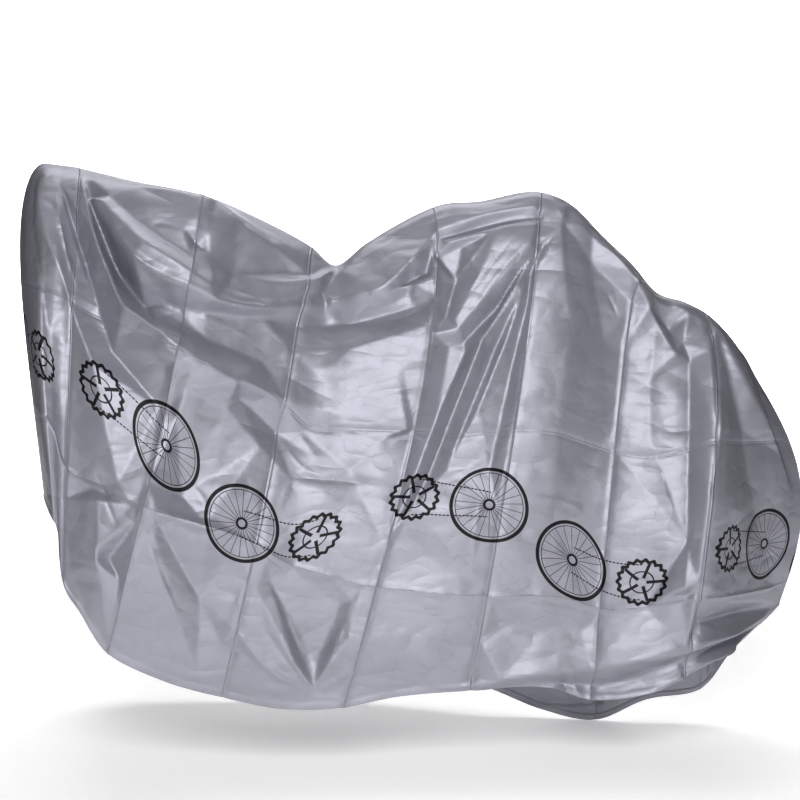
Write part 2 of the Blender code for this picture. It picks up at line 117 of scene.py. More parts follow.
# The two beaded lines that join the rings.
CHAIN_HEIGHT = 0.029         # above or below the cell's middle
CHAIN_SLOPE = 0.08
CHAIN_LINE = 0.0011          # half the width
BEAD_SWELL = 0.0006
BEAD_RATE = 900.0            # radians to a metre

FILM_DARK = (0.30, 0.30, 0.345, 1.0)
FILM_LIGHT = (0.36, 0.36, 0.41, 1.0)
FILM_METALLIC = 0.44
FILM_SPECULAR = 0.3
FILM_ROUGHNESS = 0.48
MOTTLE_SCALE = 9.0           # of the patches of dark and light film, to a metre
MOTTLE_DETAIL = 4.0
INK = (0.006, 0.006, 0.008, 1.0)
INK_ROUGHNESS = 0.55
WHITE = (1.0, 1.0, 1.0, 1.0)
FLOOR_COLOUR = (0.93, 0.93, 0.93, 1.0)
FLOOR_ROUGHNESS = 0.9
FLOOR_GLOW = 0.36            # the floor is a lit panel, as in a studio
FLOOR_FRONT = -8.0
FLOOR_SIDE = 2.4
WALL_Y = 6.0
WALL_HEIGHT = 7.0
SWEEP = 2.0
SWEEP_STEPS = 24

# Softboxes: name, place, target, size, power, and the angle that each one's light spreads over.
SOFTBOXES = [
    ("front box", (-0.1, -3.7, 2.6), (0.0, 0.0, 0.6), (1.8, 1.4), 108.0, 180.0),
    ("floor box", (0.4, -3.2, 0.35), (0.3, 0.0, 0.0), (1.8, 0.3), 12.0, 180.0),
    ("top box", (-0.2, 0.9, 3.0), (-0.1, 0.0, 0.2), (2.6, 1.2), 38.0, 180.0),
    ("wall box", (0.0, 1.5, 4.5), (0.0, 5.6, 0.3), (6.0, 1.0), 330.0, 90.0),
]
ROOM_LIGHT = 0.04
EXPOSURE = -0.12

# The ridge on the front view: station, right, up.
RIDGE = np.array([
    (0.0, -0.710, 0.474),
    (0.5, -0.672, 0.469),
    (1.0, -0.640, 0.464),
    (1.5, -0.530, 0.438),
    (2.0, -0.400, 0.412),
    (2.5, -0.300, 0.372),
    (3.0, -0.176, 0.306),
    (3.25, -0.128, 0.270),
    (3.5, -0.070, 0.312),
    (4.0, 0.066, 0.386),
    (4.5, 0.160, 0.398),
    (5.0, 0.282, 0.416),
    (5.3, 0.344, 0.390),
    (5.6, 0.404, 0.330),
    (6.0, 0.468, 0.268),
    (6.3, 0.510, 0.218),
    (6.7, 0.570, 0.196),
    (7.0, 0.612, 0.174),
    (7.4, 0.654, 0.134),
    (8.0, 0.690, 0.080),
])

# The hem on the front view, near side and far side: station, right, up.
NEAR_HEM = np.array([
    (0.0, -0.712, -0.194),
    (0.5, -0.686, -0.262),
    (1.0, -0.674, -0.368),
    (1.5, -0.640, -0.424),
    (2.0, -0.584, -0.506),
    (2.5, -0.480, -0.560),
    (3.0, -0.356, -0.596),
    (3.5, -0.230, -0.618),
    (4.0, -0.112, -0.614),
    (4.4, -0.010, -0.594),
    (5.0, 0.140, -0.582),
    (5.6, 0.300, -0.576),
    (6.0, 0.380, -0.598),
    (6.5, 0.496, -0.588),
    (7.0, 0.572, -0.554),
    (7.5, 0.670, -0.484),
    (8.0, 0.757, -0.410),
])
FAR_HEM = np.array([
    (0.0, -0.712, -0.194),
    (1.0, -0.640, -0.300),
    (2.0, -0.560, -0.430),
    (3.0, -0.350, -0.520),
    (4.0, -0.110, -0.540),
    (5.0, 0.160, -0.570),
    (5.5, 0.280, -0.618),
    (6.0, 0.390, -0.640),
    (6.5, 0.490, -0.600),
    (7.0, 0.600, -0.578),
    (7.5, 0.664, -0.500),
    (8.0, 0.757, -0.410),
])

# Cross sections: station; how far the line from ridge to hem bows to the right, and at which drop; then for
# the near and for the far side the depth of the shoulder, the height it needs, the depth of the belly, and
# the depth of the hem.
SECTIONS = np.array([
    (0.0, -0.050, 0.25, 0.050, 0.06, 0.24, 0.30, 0.050, 0.06, 0.16, 0.20),
    (1.0, -0.004, 0.50, 0.050, 0.06, 0.24, 0.30, 0.050, 0.06, 0.18, 0.22),
    (2.0, 0.018, 0.40, 0.075, 0.07, 0.27, 0.31, 0.070, 0.07, 0.20, 0.25),
    (3.0, 0.008, 0.50, 0.024, 0.024, 0.24, 0.29, 0.035, 0.035, 0.19, 0.25),
    (4.0, 0.044, 0.35, 0.016, 0.016, 0.20, 0.27, 0.030, 0.03, 0.18, 0.24),
    (5.0, 0.014, 0.40, 0.020, 0.018, 0.19, 0.25, 0.030, 0.03, 0.14, 0.15),
    (6.0, 0.000, 0.50, 0.020, 0.018, 0.17, 0.22, 0.030, 0.03, 0.11, 0.10),
    (7.0, 0.028, 0.35, 0.024, 0.02, 0.20, 0.21, 0.030, 0.03, 0.09, 0.09),
    (8.0, 0.078, 0.50, 0.045, 0.05, 0.09, 0.09, 0.045, 0.05, 0.07, 0.07),
])
BELLY_DROP = 0.55            # the drop at which the belly's depth is given
FORE_ROUNDING = 0.4          # stations over which the fore end turns from one side to the other
TAIL_ROUNDING = 0.9
TAIL_WEDGE = 1.25            # 1 would be a straight wedge

# Packing folds: the drop of the upper and of the lower one at each station, and their heights. The folds
# from ridge to hem lie at whole stations, every other one standing out and the rest sunk in.
PACKING_ROWS = np.array([
    (0.0, 0.36, 0.70),
    (1.0, 0.33, 0.72),
    (2.0, 0.35, 0.68),
    (3.0, 0.35, 0.66),
    (4.0, 0.45, 0.76),
    (5.0, 0.48, 0.81),
    (6.0, 0.43, 0.79),
    (7.0, 0.36, 0.78),
    (8.0, 0.33, 0.90),
])
PACKING_COLUMN_LIFT = 0.0040
PACKING_ROW_LIFT = 0.0030
PACKING_REACH = 0.42         # of a packing fold's flank, as a share of the gap to the next fold
PACKING_BANDS = 3            # that the two rows make, from ridge to hem

# Folds: three corners of a crest or of a hollow, each with its place on the front view, right and up, and
# its height above the smooth tent, all in millimetres. Flat facets span the space between the folds.
NEAR_FOLDS = [
    # the fore peak
    ("first crest", -700, 468, 0, -672, 400, 6, -632, 264, 0),
    ("outer crest", -726, 426, 6, -706, 316, 22, -662, 198, 26),
    ("outer crest, lower", -662, 198, 26, -610, 68, 20, -562, -164, 8),
    ("fore end, upper", -732, 370, 2, -720, 260, 2, -704, 140, 0),
    ("fore end, lower", -704, 140, 0, -688, -20, 0, -680, -200, 0),
    ("fore end, low", -680, -200, 0, -660, -324, 0, -624, -428, 0),
    ("fore valley", -680, 430, 2, -640, 300, -14, -604, 188, -8),
    ("inner crest", -636, 446, 10, -600, 310, 36, -546, 178, 42),
    ("deep trough", -620, 400, 2, -576, 276, -22, -512, 188, -14),
    ("trough floor", -512, 188, -14, -456, 188, 0, -400, 172, 6),
    ("hood lip", -616, 396, 26, -526, 270, 50, -380, 190, 40),
    ("hood lip, aft", -380, 190, 40, -276, 178, 24, -148, 190, 8),
    ("under the lip, aft", -390, 174, 8, -276, 162, 8, -150, 176, 0),
    ("top crest", -624, 444, 8, -520, 406, 32, -390, 376, 34),
    ("top crest, aft", -390, 376, 34, -336, 348, 26, -264, 304, 22),
    ("top crest, end", -264, 304, 22, -220, 276, 16, -180, 246, 10),
    ("spindle groove", -576, 394, 24, -486, 322, 28, -416, 272, 28),
    ("hood dent", -432, 328, 28, -410, 306, 10, -386, 284, 20),
    ("hood dent, upper", -432, 368, 30, -408, 356, 32, -388, 324, 24),
    ("hood crease", -376, 378, 28, -388, 324, 24, -388, 276, 22),
    ("hood trough", -392, 272, 22, -336, 248, 8, -220, 254, 6),
    ("sag crest", -546, 178, 42, -480, 130, 42, -416, 78, 44),
    ("sag crest, aft", -416, 78, 44, -330, 36, 38, -230, -4, 14),
    ("sag crest, end", -230, -4, 14, -112, -32, 6, 18, -60, 2),
    ("shelf back", -496, 184, 2, -392, 124, 4, -276, 76, 0),
    # the fore panel
    ("fore panel hollow", -620, 176, 0, -576, 96, -8, -484, -12, -11),
    ("fore panel edge", -520, 148, 34, -496, 96, 22, -468, 56, 8),
    ("fore strip", -452, 74, 38, -460, 30, 8, -468, -16, -8),
    ("lower edge of the strip", -416, 68, 40, -432, 16, 18, -448, -40, 4),
    ("fore cross crease", -660, -148, 2, -612, -176, -6, -538, -208, 8),
    ("fore pocket", -496, -156, 11, -436, -190, -15, -380, -228, 7),
    ("row crest", -486, -224, 14, -386, -254, 14, -292, -290, 4),
    ("low fore crest", -504, -164, 10, -520, -232, 15, -552, -352, 9),
    ("low fore crest, end", -552, -352, 9, -564, -420, 4, -580, -490, 0),
    ("low fore dent", -608, -284, 13, -584, -320, -9, -560, -356, 4),
    ("end panel edge", -602, -200, 13, -602, -320, 18, -584, -456, 5),
    ("low panel edge", -490, -228, 12, -490, -312, 12, -404, -552, 2),
    ("low panel hollow", -460, -290, -6, -400, -400, -10, -356, -490, 0),
    ("slant hollow", -320, 4, 0, -250, -56, -13, -170, -116, -1),
    ("slant crest", -348, -16, 6, -280, -92, 6, -216, -160, 3),
    # folds that run together at the hem
    ("hem fan, low", -336, -456, 8, -250, -528, 9, -178, -590, 0),
    ("hem fan, high", -290, -378, 6, -212, -520, 15, -174, -582, 0),
    ("hem fan hollow", -260, -360, -3, -192, -520, -12, -172, -576, 0),
    ("hem fan, aft crest", -106, -470, 10, -140, -524, 10, -170, -576, 0),
    ("hem fan, aft hollow", -120, -412, -6, -156, -500, -10, -172, -568, 0),
    ("hem fan, aft edge", -116, -554, 3, -108, -480, 9, -100, -400, 1),
    ("star, left", -328, -290, 4, -264, -316, 4, -214, -340, -5),
    ("star, right", -214, -340, -5, -144, -346, 2, -72, -362, 2),
    ("star, up", -214, -340, -5, -196, -260, 2, -164, -180, 5),
    # the middle
    ("sag edge", -264, 232, 20, -168, 238, 26, -126, 262, 10),
    ("sag pinch", -172, 228, 26, -158, 210, 8, -140, 192, 18),
    ("swag crest", 66, 320, 10, 32, 276, 26, -2, 234, 34),
    ("swag crest, fore", -2, 234, 34, -40, 210, 32, -110, 196, 18),
    ("swag hollow", 72, 284, -4, 56, 254, -6, 8, 226, 6),
    ("swag sliver", 68, 240, 16, 28, 226, 16, -24, 212, 26),
    ("long hollow", -208, 148, -4, -100, 156, -7, 28, 188, -6),
    ("long crest", -216, 92, 4, -100, 98, 15, 52, 146, 11),
    ("middle hollow", -200, -60, -3, -100, -140, -6, -40, -80, -1),
    ("middle crest", -156, 40, 7, -80, 32, 7, 0, 56, 6),
    # the aft peak and the fan below it
    ("rest crest, upper", 72, 332, 10, 164, 366, 12, 272, 388, 8),
    ("rest line", 74, 316, 4, 166, 346, -2, 282, 364, 4),
    ("rest crest, lower", 104, 312, 16, 200, 338, 16, 272, 348, 14),
    ("fan crest, high", 210, 344, 16, 160, 248, 20, 110, 156, 14),
    ("fan hollow, high", 124, 308, 2, 112, 240, -6, 92, 164, -2),
    ("fan crest, middle", 260, 306, 18, 184, 216, 18, 116, 138, 16),
    ("fan swag", 278, 298, 3, 204, 198, -11, 128, 116, -8),
    ("fan swag, end", 128, 116, -8, 98, 108, -6, 70, 116, 8),
    ("seam of the middle", 66, 314, 10, 74, 200, 11, 66, 128, 11),
    ("seam of the middle, low", 66, 110, 8, 24, -60, 11, -32, -284, 4),
    ("tube", 254, 276, 11, 166, 120, 21, 60, -146, 19),
    ("tube, end", 60, -146, 19, 24, -216, 10, -8, -280, 0),
    ("tube hollow, fore", 132, 96, -6, 72, -40, -8, 20, -180, -6),
    ("tube hollow", 262, 252, 0, 188, 100, -10, 92, -136, -8),
    ("fan crest, low", 244, 216, 11, 208, 112, 10, 156, -16, 6),
    ("fan hollow, low", 258, 200, -1, 222, 56, -7, 180, -140, -6),
    ("aft seam", 284, 364, 8, 280, 316, 10, 270, 260, 12),
    ("aft seam, middle", 270, 260, 12, 250, 102, 16, 224, -66, 13),
    ("aft seam, lower", 224, -66, 13, 196, -226, 10, 176, -382, 6),
    ("aft seam, end", 176, -382, 6, 160, -480, 4, 142, -560, 0),
    ("panel edge", 328, 348, 10, 336, 160, 14, 312, -80, 12),
    ("panel edge, lower", 312, -80, 12, 296, -240, 4, 280, -380, 4),
    ("aft peak crease", 300, 408, 2, 328, 380, 12, 320, 340, 14),
    ("bright wedge", 184, -394, 6, 270, -412, 7, 364, -422, 2),
    ("bright wedge hollow", 200, -448, -4, 280, -464, -4, 360, -460, -1),
    # the tail side
    ("aft cross hollow", 380, 276, 4, 408, 120, -2, 412, -80, -4),
    ("shoulder crest", 382, 344, 12, 412, 304, 24, 452, 246, 28),
    ("shoulder crest, aft", 452, 246, 28, 490, 180, 24, 554, 88, 14),
    ("shoulder hollow", 464, 192, 4, 444, 100, -6, 432, -60, -6),
    ("light panel edge", 508, 140, 18, 500, 40, 8, 500, -80, 4),
    ("tail pocket", 504, 188, 20, 536, 148, -14, 566, 112, 0),
    ("tail flap crest", 500, 200, 22, 540, 192, 18, 580, 182, 12),
    ("tail thin line", 576, 172, 12, 600, 162, 8, 624, 152, 4),
    ("tail side hollow", 580, 80, -4, 580, -60, -10, 576, -280, -6),
    ("knife fold", 616, 96, 12, 630, -64, 30, 612, -200, 30),
    ("knife fold, low", 612, -200, 30, 592, -360, 22, 570, -500, 6),
    ("tail dark fold", 644, 100, 0, 688, -60, -6, 716, -240, -8),
    ("tail crest", 636, 140, 8, 692, 4, 20, 728, -56, 20),
    ("tail crest, end", 728, -56, 20, 756, -112, 12, 784, -180, 2),
    # towards the tail corner
    ("corner upper hollow", 408, -424, -3, 490, -416, -14, 568, -404, -3),
    ("corner ledge", 580, -392, 14, 656, -398, 14, 736, -400, 3),
    ("ledge hollow", 600, -448, -11, 670, -428, -11, 752, -410, 0),
    ("corner crest, high", 574, -504, 12, 652, -464, 21, 758, -410, 0),
    ("corner hollow", 572, -532, -8, 656, -480, -4, 756, -412, 0),
    ("corner crest, low", 564, -560, 8, 654, -498, 20, 756, -412, 0),
    ("tucked edge, fore", 110, -576, 3, 200, -558, 18, 280, -544, 23),
    ("tucked edge", 280, -544, 23, 380, -532, 21, 568, -506, 8),
    ("under the tucked edge", 140, -588, 0, 240, -572, -7, 384, -570, -11),
    ("tail trough", 400, -574, -11, 480, -558, -15, 560, -528, -7),
    # finer folds
    ("hood bulge", -592, 386, 34, -506, 296, 54, -390, 220, 42),
    ("under the swag", 60, 276, -2, 20, 220, 4, -16, 188, 2),
]
FAR_FOLDS = [
    ("far peak crest", -660, 430, 8, -620, 300, 22, -560, 120, 8),
    ("far inner crest", -560, 430, 8, -500, 300, 26, -390, 150, 6),
    ("far hollow", -610, 420, 4, -560, 280, -18, -480, 100, -6),
    ("far swag", -420, 360, 10, -250, 190, 26, -60, 200, 10),
    ("far swag hollow", -390, 300, 4, -240, 130, -16, -40, 150, -4),
    ("far second swag", -330, 60, 4, -160, 20, 16, 40, 90, 4),
    ("far fan 1", 270, 370, 8, 170, 200, 26, 20, 40, 6),
    ("far fan 2", 280, 360, 8, 240, 140, 26, 140, -120, 6),
    ("far fan 3", 290, 360, 8, 320, 150, 24, 310, -100, 6),
    ("far fan 4", 300, 350, 8, 400, 160, 22, 460, -40, 6),
    ("far fan hollow", 274, 350, 2, 200, 170, -18, 80, -40, -6),
    ("far fan hollow, low", 282, 340, 2, 280, 140, -16, 224, -100, -6),
    ("far fan hollow, aft", 296, 340, 2, 360, 150, -14, 384, -80, -4),
    ("far tail crest", 500, 210, 8, 560, 80, 20, 620, -120, 6),
    ("far tail hollow", 560, 190, 0, 610, 60, -16, 660, -80, -4),
    ("far low fan 1", -420, -520, 2, -380, -360, 20, -420, -180, 6),
    ("far low fan 2", -420, -520, 2, -300, -400, 18, -220, -240, 6),
    ("far low hollow", -420, -520, 0, -344, -380, -12, -320, -200, -2),
    ("far low crest", 60, -540, 2, 80, -400, 18, 60, -220, 6),
    ("far corner crest", 756, -410, 0, 640, -470, 18, 420, -480, 4),
    ("far corner hollow", 754, -412, 0, 600, -530, -14, 430, -560, -4),
    ("far plain crest", -200, -160, 4, -80, -200, 10, 60, -140, 4),
]

# Fine creases: start, middle and end on the front view in millimetres, then width and height.
NEAR_CREASES = [
    ("cap crease", -728, 430, -700, 446, -678, 456, 12, 3.0),
    ("cap line", -720, 400, -690, 380, -676, 340, 12, -2.5),
    ("trough shadow", -610, 378, -572, 272, -520, 192, 30, -24),
    ("lip edge", -610, 394, -532, 276, -396, 196, 12, 9),
    ("lip edge, aft", -396, 192, -300, 178, -200, 186, 12, 7),
    ("hood hollow", -540, 300, -470, 250, -410, 230, 26, -6),
    ("fore peak strip", -690, 420, -672, 310, -640, 214, 12, 8),
    ("valley floor", -634, 360, -624, 300, -640, 210, 10, -3.0),
    ("thin diagonal", -612, 294, -630, 240, -648, 202, 9, -2.5),
    ("thin light line", -660, 208, -612, 190, -566, 156, 9, 2.5),
    ("twin of inner crest", -620, 388, -600, 330, -574, 292, 9, 2.5),
    ("second lip line", -600, 382, -510, 262, -300, 190, 9, -2.5),
    ("spindle top", -528, 408, -450, 392, -386, 380, 9, 2.2),
    ("spindle low edge", -500, 340, -470, 338, -436, 328, 9, -2.2),
    ("pinch ray, up", -392, 272, -350, 296, -320, 314, 9, 2.5),
    ("pinch ray, left", -392, 272, -410, 276, -430, 258, 8, -2.5),
    ("pinch ray, down", -392, 272, -384, 240, -392, 210, 8, 2.0),
    ("under lip crease", -442, 208, -446, 190, -448, 162, 8, 2.0),
    ("long line under hood", -448, 172, -360, 152, -280, 110, 9, 2.0),
    ("sag line above crest", -400, 90, -330, 34, -230, -2, 10, -3.0),
    ("sag crumple", -482, 134, -450, 96, -430, 76, 10, 3.0),
    ("sag crumple's twin", -470, 120, -440, 112, -416, 84, 8, -2.5),
    ("fore crease, upper", -452, 74, -458, 28, -468, -12, 9, 2.5),
    ("fore crease, middle", -504, -160, -514, -210, -548, -308, 9, 2.5),
    ("fore crease, low", -556, -356, -568, -424, -580, -490, 9, 2.0),
    ("fore cross crease", -690, -138, -600, -170, -538, -208, 9, 2.0),
    ("pocket line", -470, -160, -420, -196, -372, -200, 9, 2.2),
    ("pocket ray", -436, -164, -398, -188, -384, -240, 9, -2.0),
    ("dark pocket edge", -608, -140, -584, -200, -560, -260, 9, -2.2),
    ("low line", -548, -414, -530, -416, -510, -414, 8, 1.6),
    ("low row line", -485, -225, -388, -256, -290, -287, 10, 4),
    ("low row pinch", -286, -300, -256, -330, -222, -346, 9, 3),
    ("low row, on", -226, -344, -170, -352, -110, -354, 9, 2.4),
    ("low facet edge", -288, -318, -312, -380, -338, -450, 12, 5),
    ("low facet shadow", -500, -250, -480, -330, -440, -420, 12, -3),
    ("wrinkle over sag 1", -300, 236, -250, 246, -220, 248, 9, 2.2),
    ("wrinkle over sag 2", -360, 208, -280, 196, -168, 208, 9, 2.2),
    ("sag pinch", -168, 222, -156, 204, -142, 192, 8, -2.5),
    ("near ridge line", -218, 254, -170, 240, -122, 266, 8, 2.2),
    ("knot", -90, 160, -30, 128, 62, 120, 8, 1.8),
    ("slant under sag", -226, -80, -186, -140, -116, -154, 9, 2.0),
    ("star ray 1", -290, -172, -246, -168, -214, -140, 9, 2.0),
    ("star ray 2", -214, -140, -170, -158, -72, -164, 9, -2.0),
    ("star ray 3", -214, -140, -230, -190, -250, -236, 8, 2.0),
    ("hem ray 1", -172, -588, -200, -490, -250, -390, 16, 7),
    ("hem ray 2", -172, -588, -270, -530, -336, -446, 16, 7),
    ("hem ray 3", -170, -576, -136, -500, -100, -420, 14, 6),
    ("hem ray 4", -168, -574, -120, -556, -80, -520, 12, 4),
    ("hem ray 5", -174, -588, -220, -530, -290, -430, 12, -5),
    ("facet edge", 92, -154, 130, -140, 174, -114, 8, 1.6),
    ("swag line", 64, 284, 20, 226, -36, 210, 8, 2.4),
    ("rest light line", 204, 378, 140, 352, 76, 324, 8, 2.4),
    ("rest second line", 284, 366, 210, 366, 120, 338, 8, -2.4),
    ("fan line 1", 200, 352, 150, 290, 90, 220, 8, 2.0),
    ("fan line 2", 238, 330, 180, 262, 110, 166, 8, -2.2),
    ("fan line 3", 262, 320, 210, 262, 148, 180, 8, 2.4),
    ("fan line 4", 270, 300, 226, 236, 166, 136, 8, -2.4),
    ("fan line 5", 268, 270, 232, 190, 190, 110, 8, 2.4),
    ("fan line 6", 258, 210, 232, 170, 214, 84, 8, 2.0),
    ("fan line 7", 242, 236, 190, 130, 130, 24, 8, 2.6),
    ("seam line", 284, 358, 268, 230, 248, 100, 8, 2.8),
    ("seam line, low", 240, 40, 214, -120, 184, -200, 8, 2.2),
    ("seam crossing", 176, -186, 154, -240, 144, -360, 9, 2.6),
    ("panel thin crease", 276, 266, 320, 300, 380, 320, 8, 2.0),
    ("peak facet crease", 294, 406, 310, 390, 322, 366, 8, 2.2),
    ("bright wedge edge", 188, -198, 300, -198, 364, -222, 10, 2.6),
    ("panel diagonal 1", 314, -14, 350, -30, 400, -48, 8, 1.8),
    ("panel diagonal 2", 350, -80, 375, -84, 400, -96, 8, 1.8),
    ("aft cross 1", 384, 238, 424, 236, 468, 218, 8, 2.0),
    ("aft cross 2", 346, 144, 400, 142, 454, 146, 8, 1.8),
    ("aft cross 3", 410, 218, 424, 190, 434, 164, 8, -1.8),
    ("shoulder line", 472, 258, 490, 220, 504, 172, 8, -2.4),
    ("pocket triangle", 498, 190, 540, 182, 572, 184, 9, 2.6),
    ("pocket triangle, low", 508, 158, 540, 170, 572, 184, 8, -2.4),
    ("tail wrinkle 1", 456, 4, 500, -8, 552, -10, 8, 1.8),
    ("tail wrinkle 2", 464, -50, 520, -50, 578, -48, 8, 1.8),
    ("tail wrinkle 3", 528, -60, 556, -62, 578, -54, 7, -1.6),
    ("tail row line", 494, -96, 550, -98, 614, -86, 9, 2.4),
    ("tail row line, aft", 640, -96, 690, -90, 722, -80, 9, -2.0),
    ("tail thin line", 614, 136, 622, 90, 624, 46, 8, 2.2),
    ("knife line", 624, 46, 634, -60, 608, -204, 8, 3.0),
    ("knife line, low", 606, -214, 574, -320, 566, -500, 9, 2.4),
    ("tail crumple 1", 664, 90, 690, 40, 716, -20, 9, 2.2),
    ("tail crumple 2", 700, 6, 730, -30, 762, -60, 9, 2.2),
    ("tail crumple 3", 742, -136, 744, -150, 742, -178, 9, 2.0),
    ("corner ray 1", 758, -410, 660, -460, 400, -536, 16, 7),
    ("corner ray 2", 756, -414, 650, -500, 420, -584, 16, 7),
    ("corner ray 3", 752, -414, 650, -484, 420, -560, 14, -8),
    ("hem corner line", 400, -540, 460, -524, 568, -506, 9, 2.6),
    ("pleat 1", 336, -532, 346, -560, 360, -592, 12, 6),
    ("pleat 2", 318, -536, 326, -560, 330, -586, 10, -6),
    ("hem sliver 1", -170, -580, -140, -574, -124, -572, 8, 2.0),
    ("hem sliver 2", -172, -598, -130, -596, -82, -594, 8, 2.0),
]
FAR_CREASES = [
    ("far line 1", -640, 380, -600, 240, -560, 60, 9, 2.6),
    ("far line 2", -540, 400, -470, 260, -360, 150, 9, -2.6),
    ("far line 3", -400, 330, -240, 160, -60, 190, 9, 2.4),
    ("far line 4", 260, 360, 160, 190, 10, 20, 9, 2.6),
    ("far line 5", 276, 350, 236, 120, 140, -140, 9, -2.6),
    ("far line 6", 300, 350, 330, 140, 320, -120, 9, 2.6),
    ("far line 7", 320, 340, 420, 150, 480, -60, 9, -2.6),
    ("far line 8", 510, 190, 570, 60, 630, -140, 9, 2.6),
    ("far line 9", -420, -520, -370, -360, -410, -160, 9, 2.6),
    ("far line 10", -420, -520, -290, -400, -200, -220, 9, -2.6),
    ("far line 11", 40, -500, 70, -380, 40, -200, 9, 2.4),
    ("far line 12", 750, -412, 630, -470, 440, -480, 9, 2.8),
    ("far line 13", -620, -100, -480, -140, -330, -130, 9, 2.0),
    ("far hem fold", 196, -584, 320, -606, 450, -590, 14, 7),
    ("far hem fold, aft", 470, -590, 540, -588, 604, -560, 14, 6),
    ("far line 14", 330, -100, 450, -150, 560, -120, 9, 2.0),
]

# The two sides: hem, first column in SECTIONS, folds, creases, seed of the crumple, and the way that the
# side faces, -1 towards the eye.
Side = namedtuple("Side", "hem first_column folds creases seed facing")
NEAR_SIDE = Side(NEAR_HEM, 3, NEAR_FOLDS, NEAR_CREASES, 1, -1)
FAR_SIDE = Side(FAR_HEM, 7, FAR_FOLDS, FAR_CREASES, 5, 1)


# The smooth tent

def smooth_line(at, knots, values):
    """A cubic through the values, whose slope at a knot follows its two neighbours."""
    slopes = np.gradient(values, knots)
    left = np.clip(np.searchsorted(knots, at, side="right") - 1, 0, len(knots) - 2)
    gap = knots[left + 1] - knots[left]
    t = (at - knots[left]) / gap
    start = values[left] * (1 + 2 * t) * (1 - t) ** 2 + slopes[left] * gap * t * (1 - t) ** 2
    end = values[left + 1] * t ** 2 * (3 - 2 * t) - slopes[left + 1] * gap * t ** 2 * (1 - t)
    return start + end


def column_of(table, index, u):
    """One column of a station table, read at the stations u."""
    return smooth_line(u, table[:, 0], table[:, index])


def front_view(u, v, hem):
    """Where the film shows on the front view: a line from ridge to hem, bowed sideways by half a sine."""
    bow = column_of(SECTIONS, 1, u)
    bow_at = column_of(SECTIONS, 2, u)
    sideways = bow * np.sin(math.pi * v ** (math.log(0.5) / np.log(bow_at)))
    right = (1 - v) * column_of(RIDGE, 1, u) + v * column_of(hem, 1, u) + sideways
    up = (1 - v) * column_of(RIDGE, 2, u) + v * column_of(hem, 2, u)
    return right, up


def end_rounding(u):
    """Brings both sides together: a quarter of an ellipse at the fore end, nearly a wedge at the tail."""
    fore = np.clip(1 - u / FORE_ROUNDING, 0, 1)
    tail = np.clip(1 - (LAST_STATION - u) / TAIL_ROUNDING, 0, 1)
    return np.sqrt(1 - fore ** 2) * (1 - tail ** TAIL_WEDGE)


def depth(u, v, side):
    """Distance from the ridge's plane: a rounded shoulder, then a parabola through the belly to the hem."""
    shoulder, height, belly, low = (column_of(SECTIONS, side.first_column + k, u) for k in range(4))
    fall = v * (column_of(RIDGE, 2, u) - column_of(side.hem, 2, u))
    rounding = np.sqrt(1 - (1 - np.clip(fall / height, 0, 1)) ** 2)
    m = BELLY_DROP
    at_top = (v - m) * (v - 1) / m
    at_belly = v * (1 - v) / (m * (1 - m))
    at_hem = v * (v - m) / (1 - m)
    return (rounding * shoulder * at_top + belly * at_belly + low * at_hem) * end_rounding(u)


def in_space(right, up, behind):
    """The point of space that shows at this place of the front view, that far behind the ridge's plane."""
    eye_y = -EYE_DISTANCE * math.cos(EYE_TILT)
    eye_z = AIM_HEIGHT + EYE_DISTANCE * math.sin(EYE_TILT)
    drawn_y = up * math.sin(EYE_TILT)
    drawn_z = AIM_HEIGHT + up * math.cos(EYE_TILT)
    reach = (behind - eye_y) / (drawn_y - eye_y)
    y, z = eye_y + reach * (drawn_y - eye_y), eye_z + reach * (drawn_z - eye_z)
    return np.stack([right * reach, y, z], axis=-1)


def tent(u, v, side):
    """The smooth tent: each place of the front view, as deep as the side's cross sections make it."""
    right, up = front_view(u, v, side.hem)
    return in_space(right, up, side.facing * depth(u, v, side))


def outward_normals(surface, u, v, step_u, step_v, side, *more):
    """Unit normals of a side's surface: the cross product of its steps along and down."""
    fore, aft = np.clip(u - step_u, 0, LAST_STATION), np.clip(u + step_u, 0, LAST_STATION)
    above, below = np.clip(v - step_v, 0, 1), np.clip(v + step_v, 0, 1)
    along = surface(aft, v, side, *more) - surface(fore, v, side, *more)
    down = surface(u, below, side, *more) - surface(u, above, side, *more)
    normals = np.cross(along, down) * side.facing
    return normals / np.linalg.norm(normals, axis=-1, keepdims=True)


# Folds, creases and crumple, each a height above the smooth tent

def height_on_lines(spot, starts, ends):
    """The height at a spot where two folds cross: that of the nearest fold's straight piece."""
    along = (ends - starts)[:, :2]
    t = np.clip(np.sum((spot - starts[:, :2]) * along, axis=1) / np.sum(along ** 2, axis=1), 0, 1)[:, None]
    places = starts + t * (ends - starts)
    return places[np.hypot(*(places[:, :2] - spot).T).argmin(), 2]


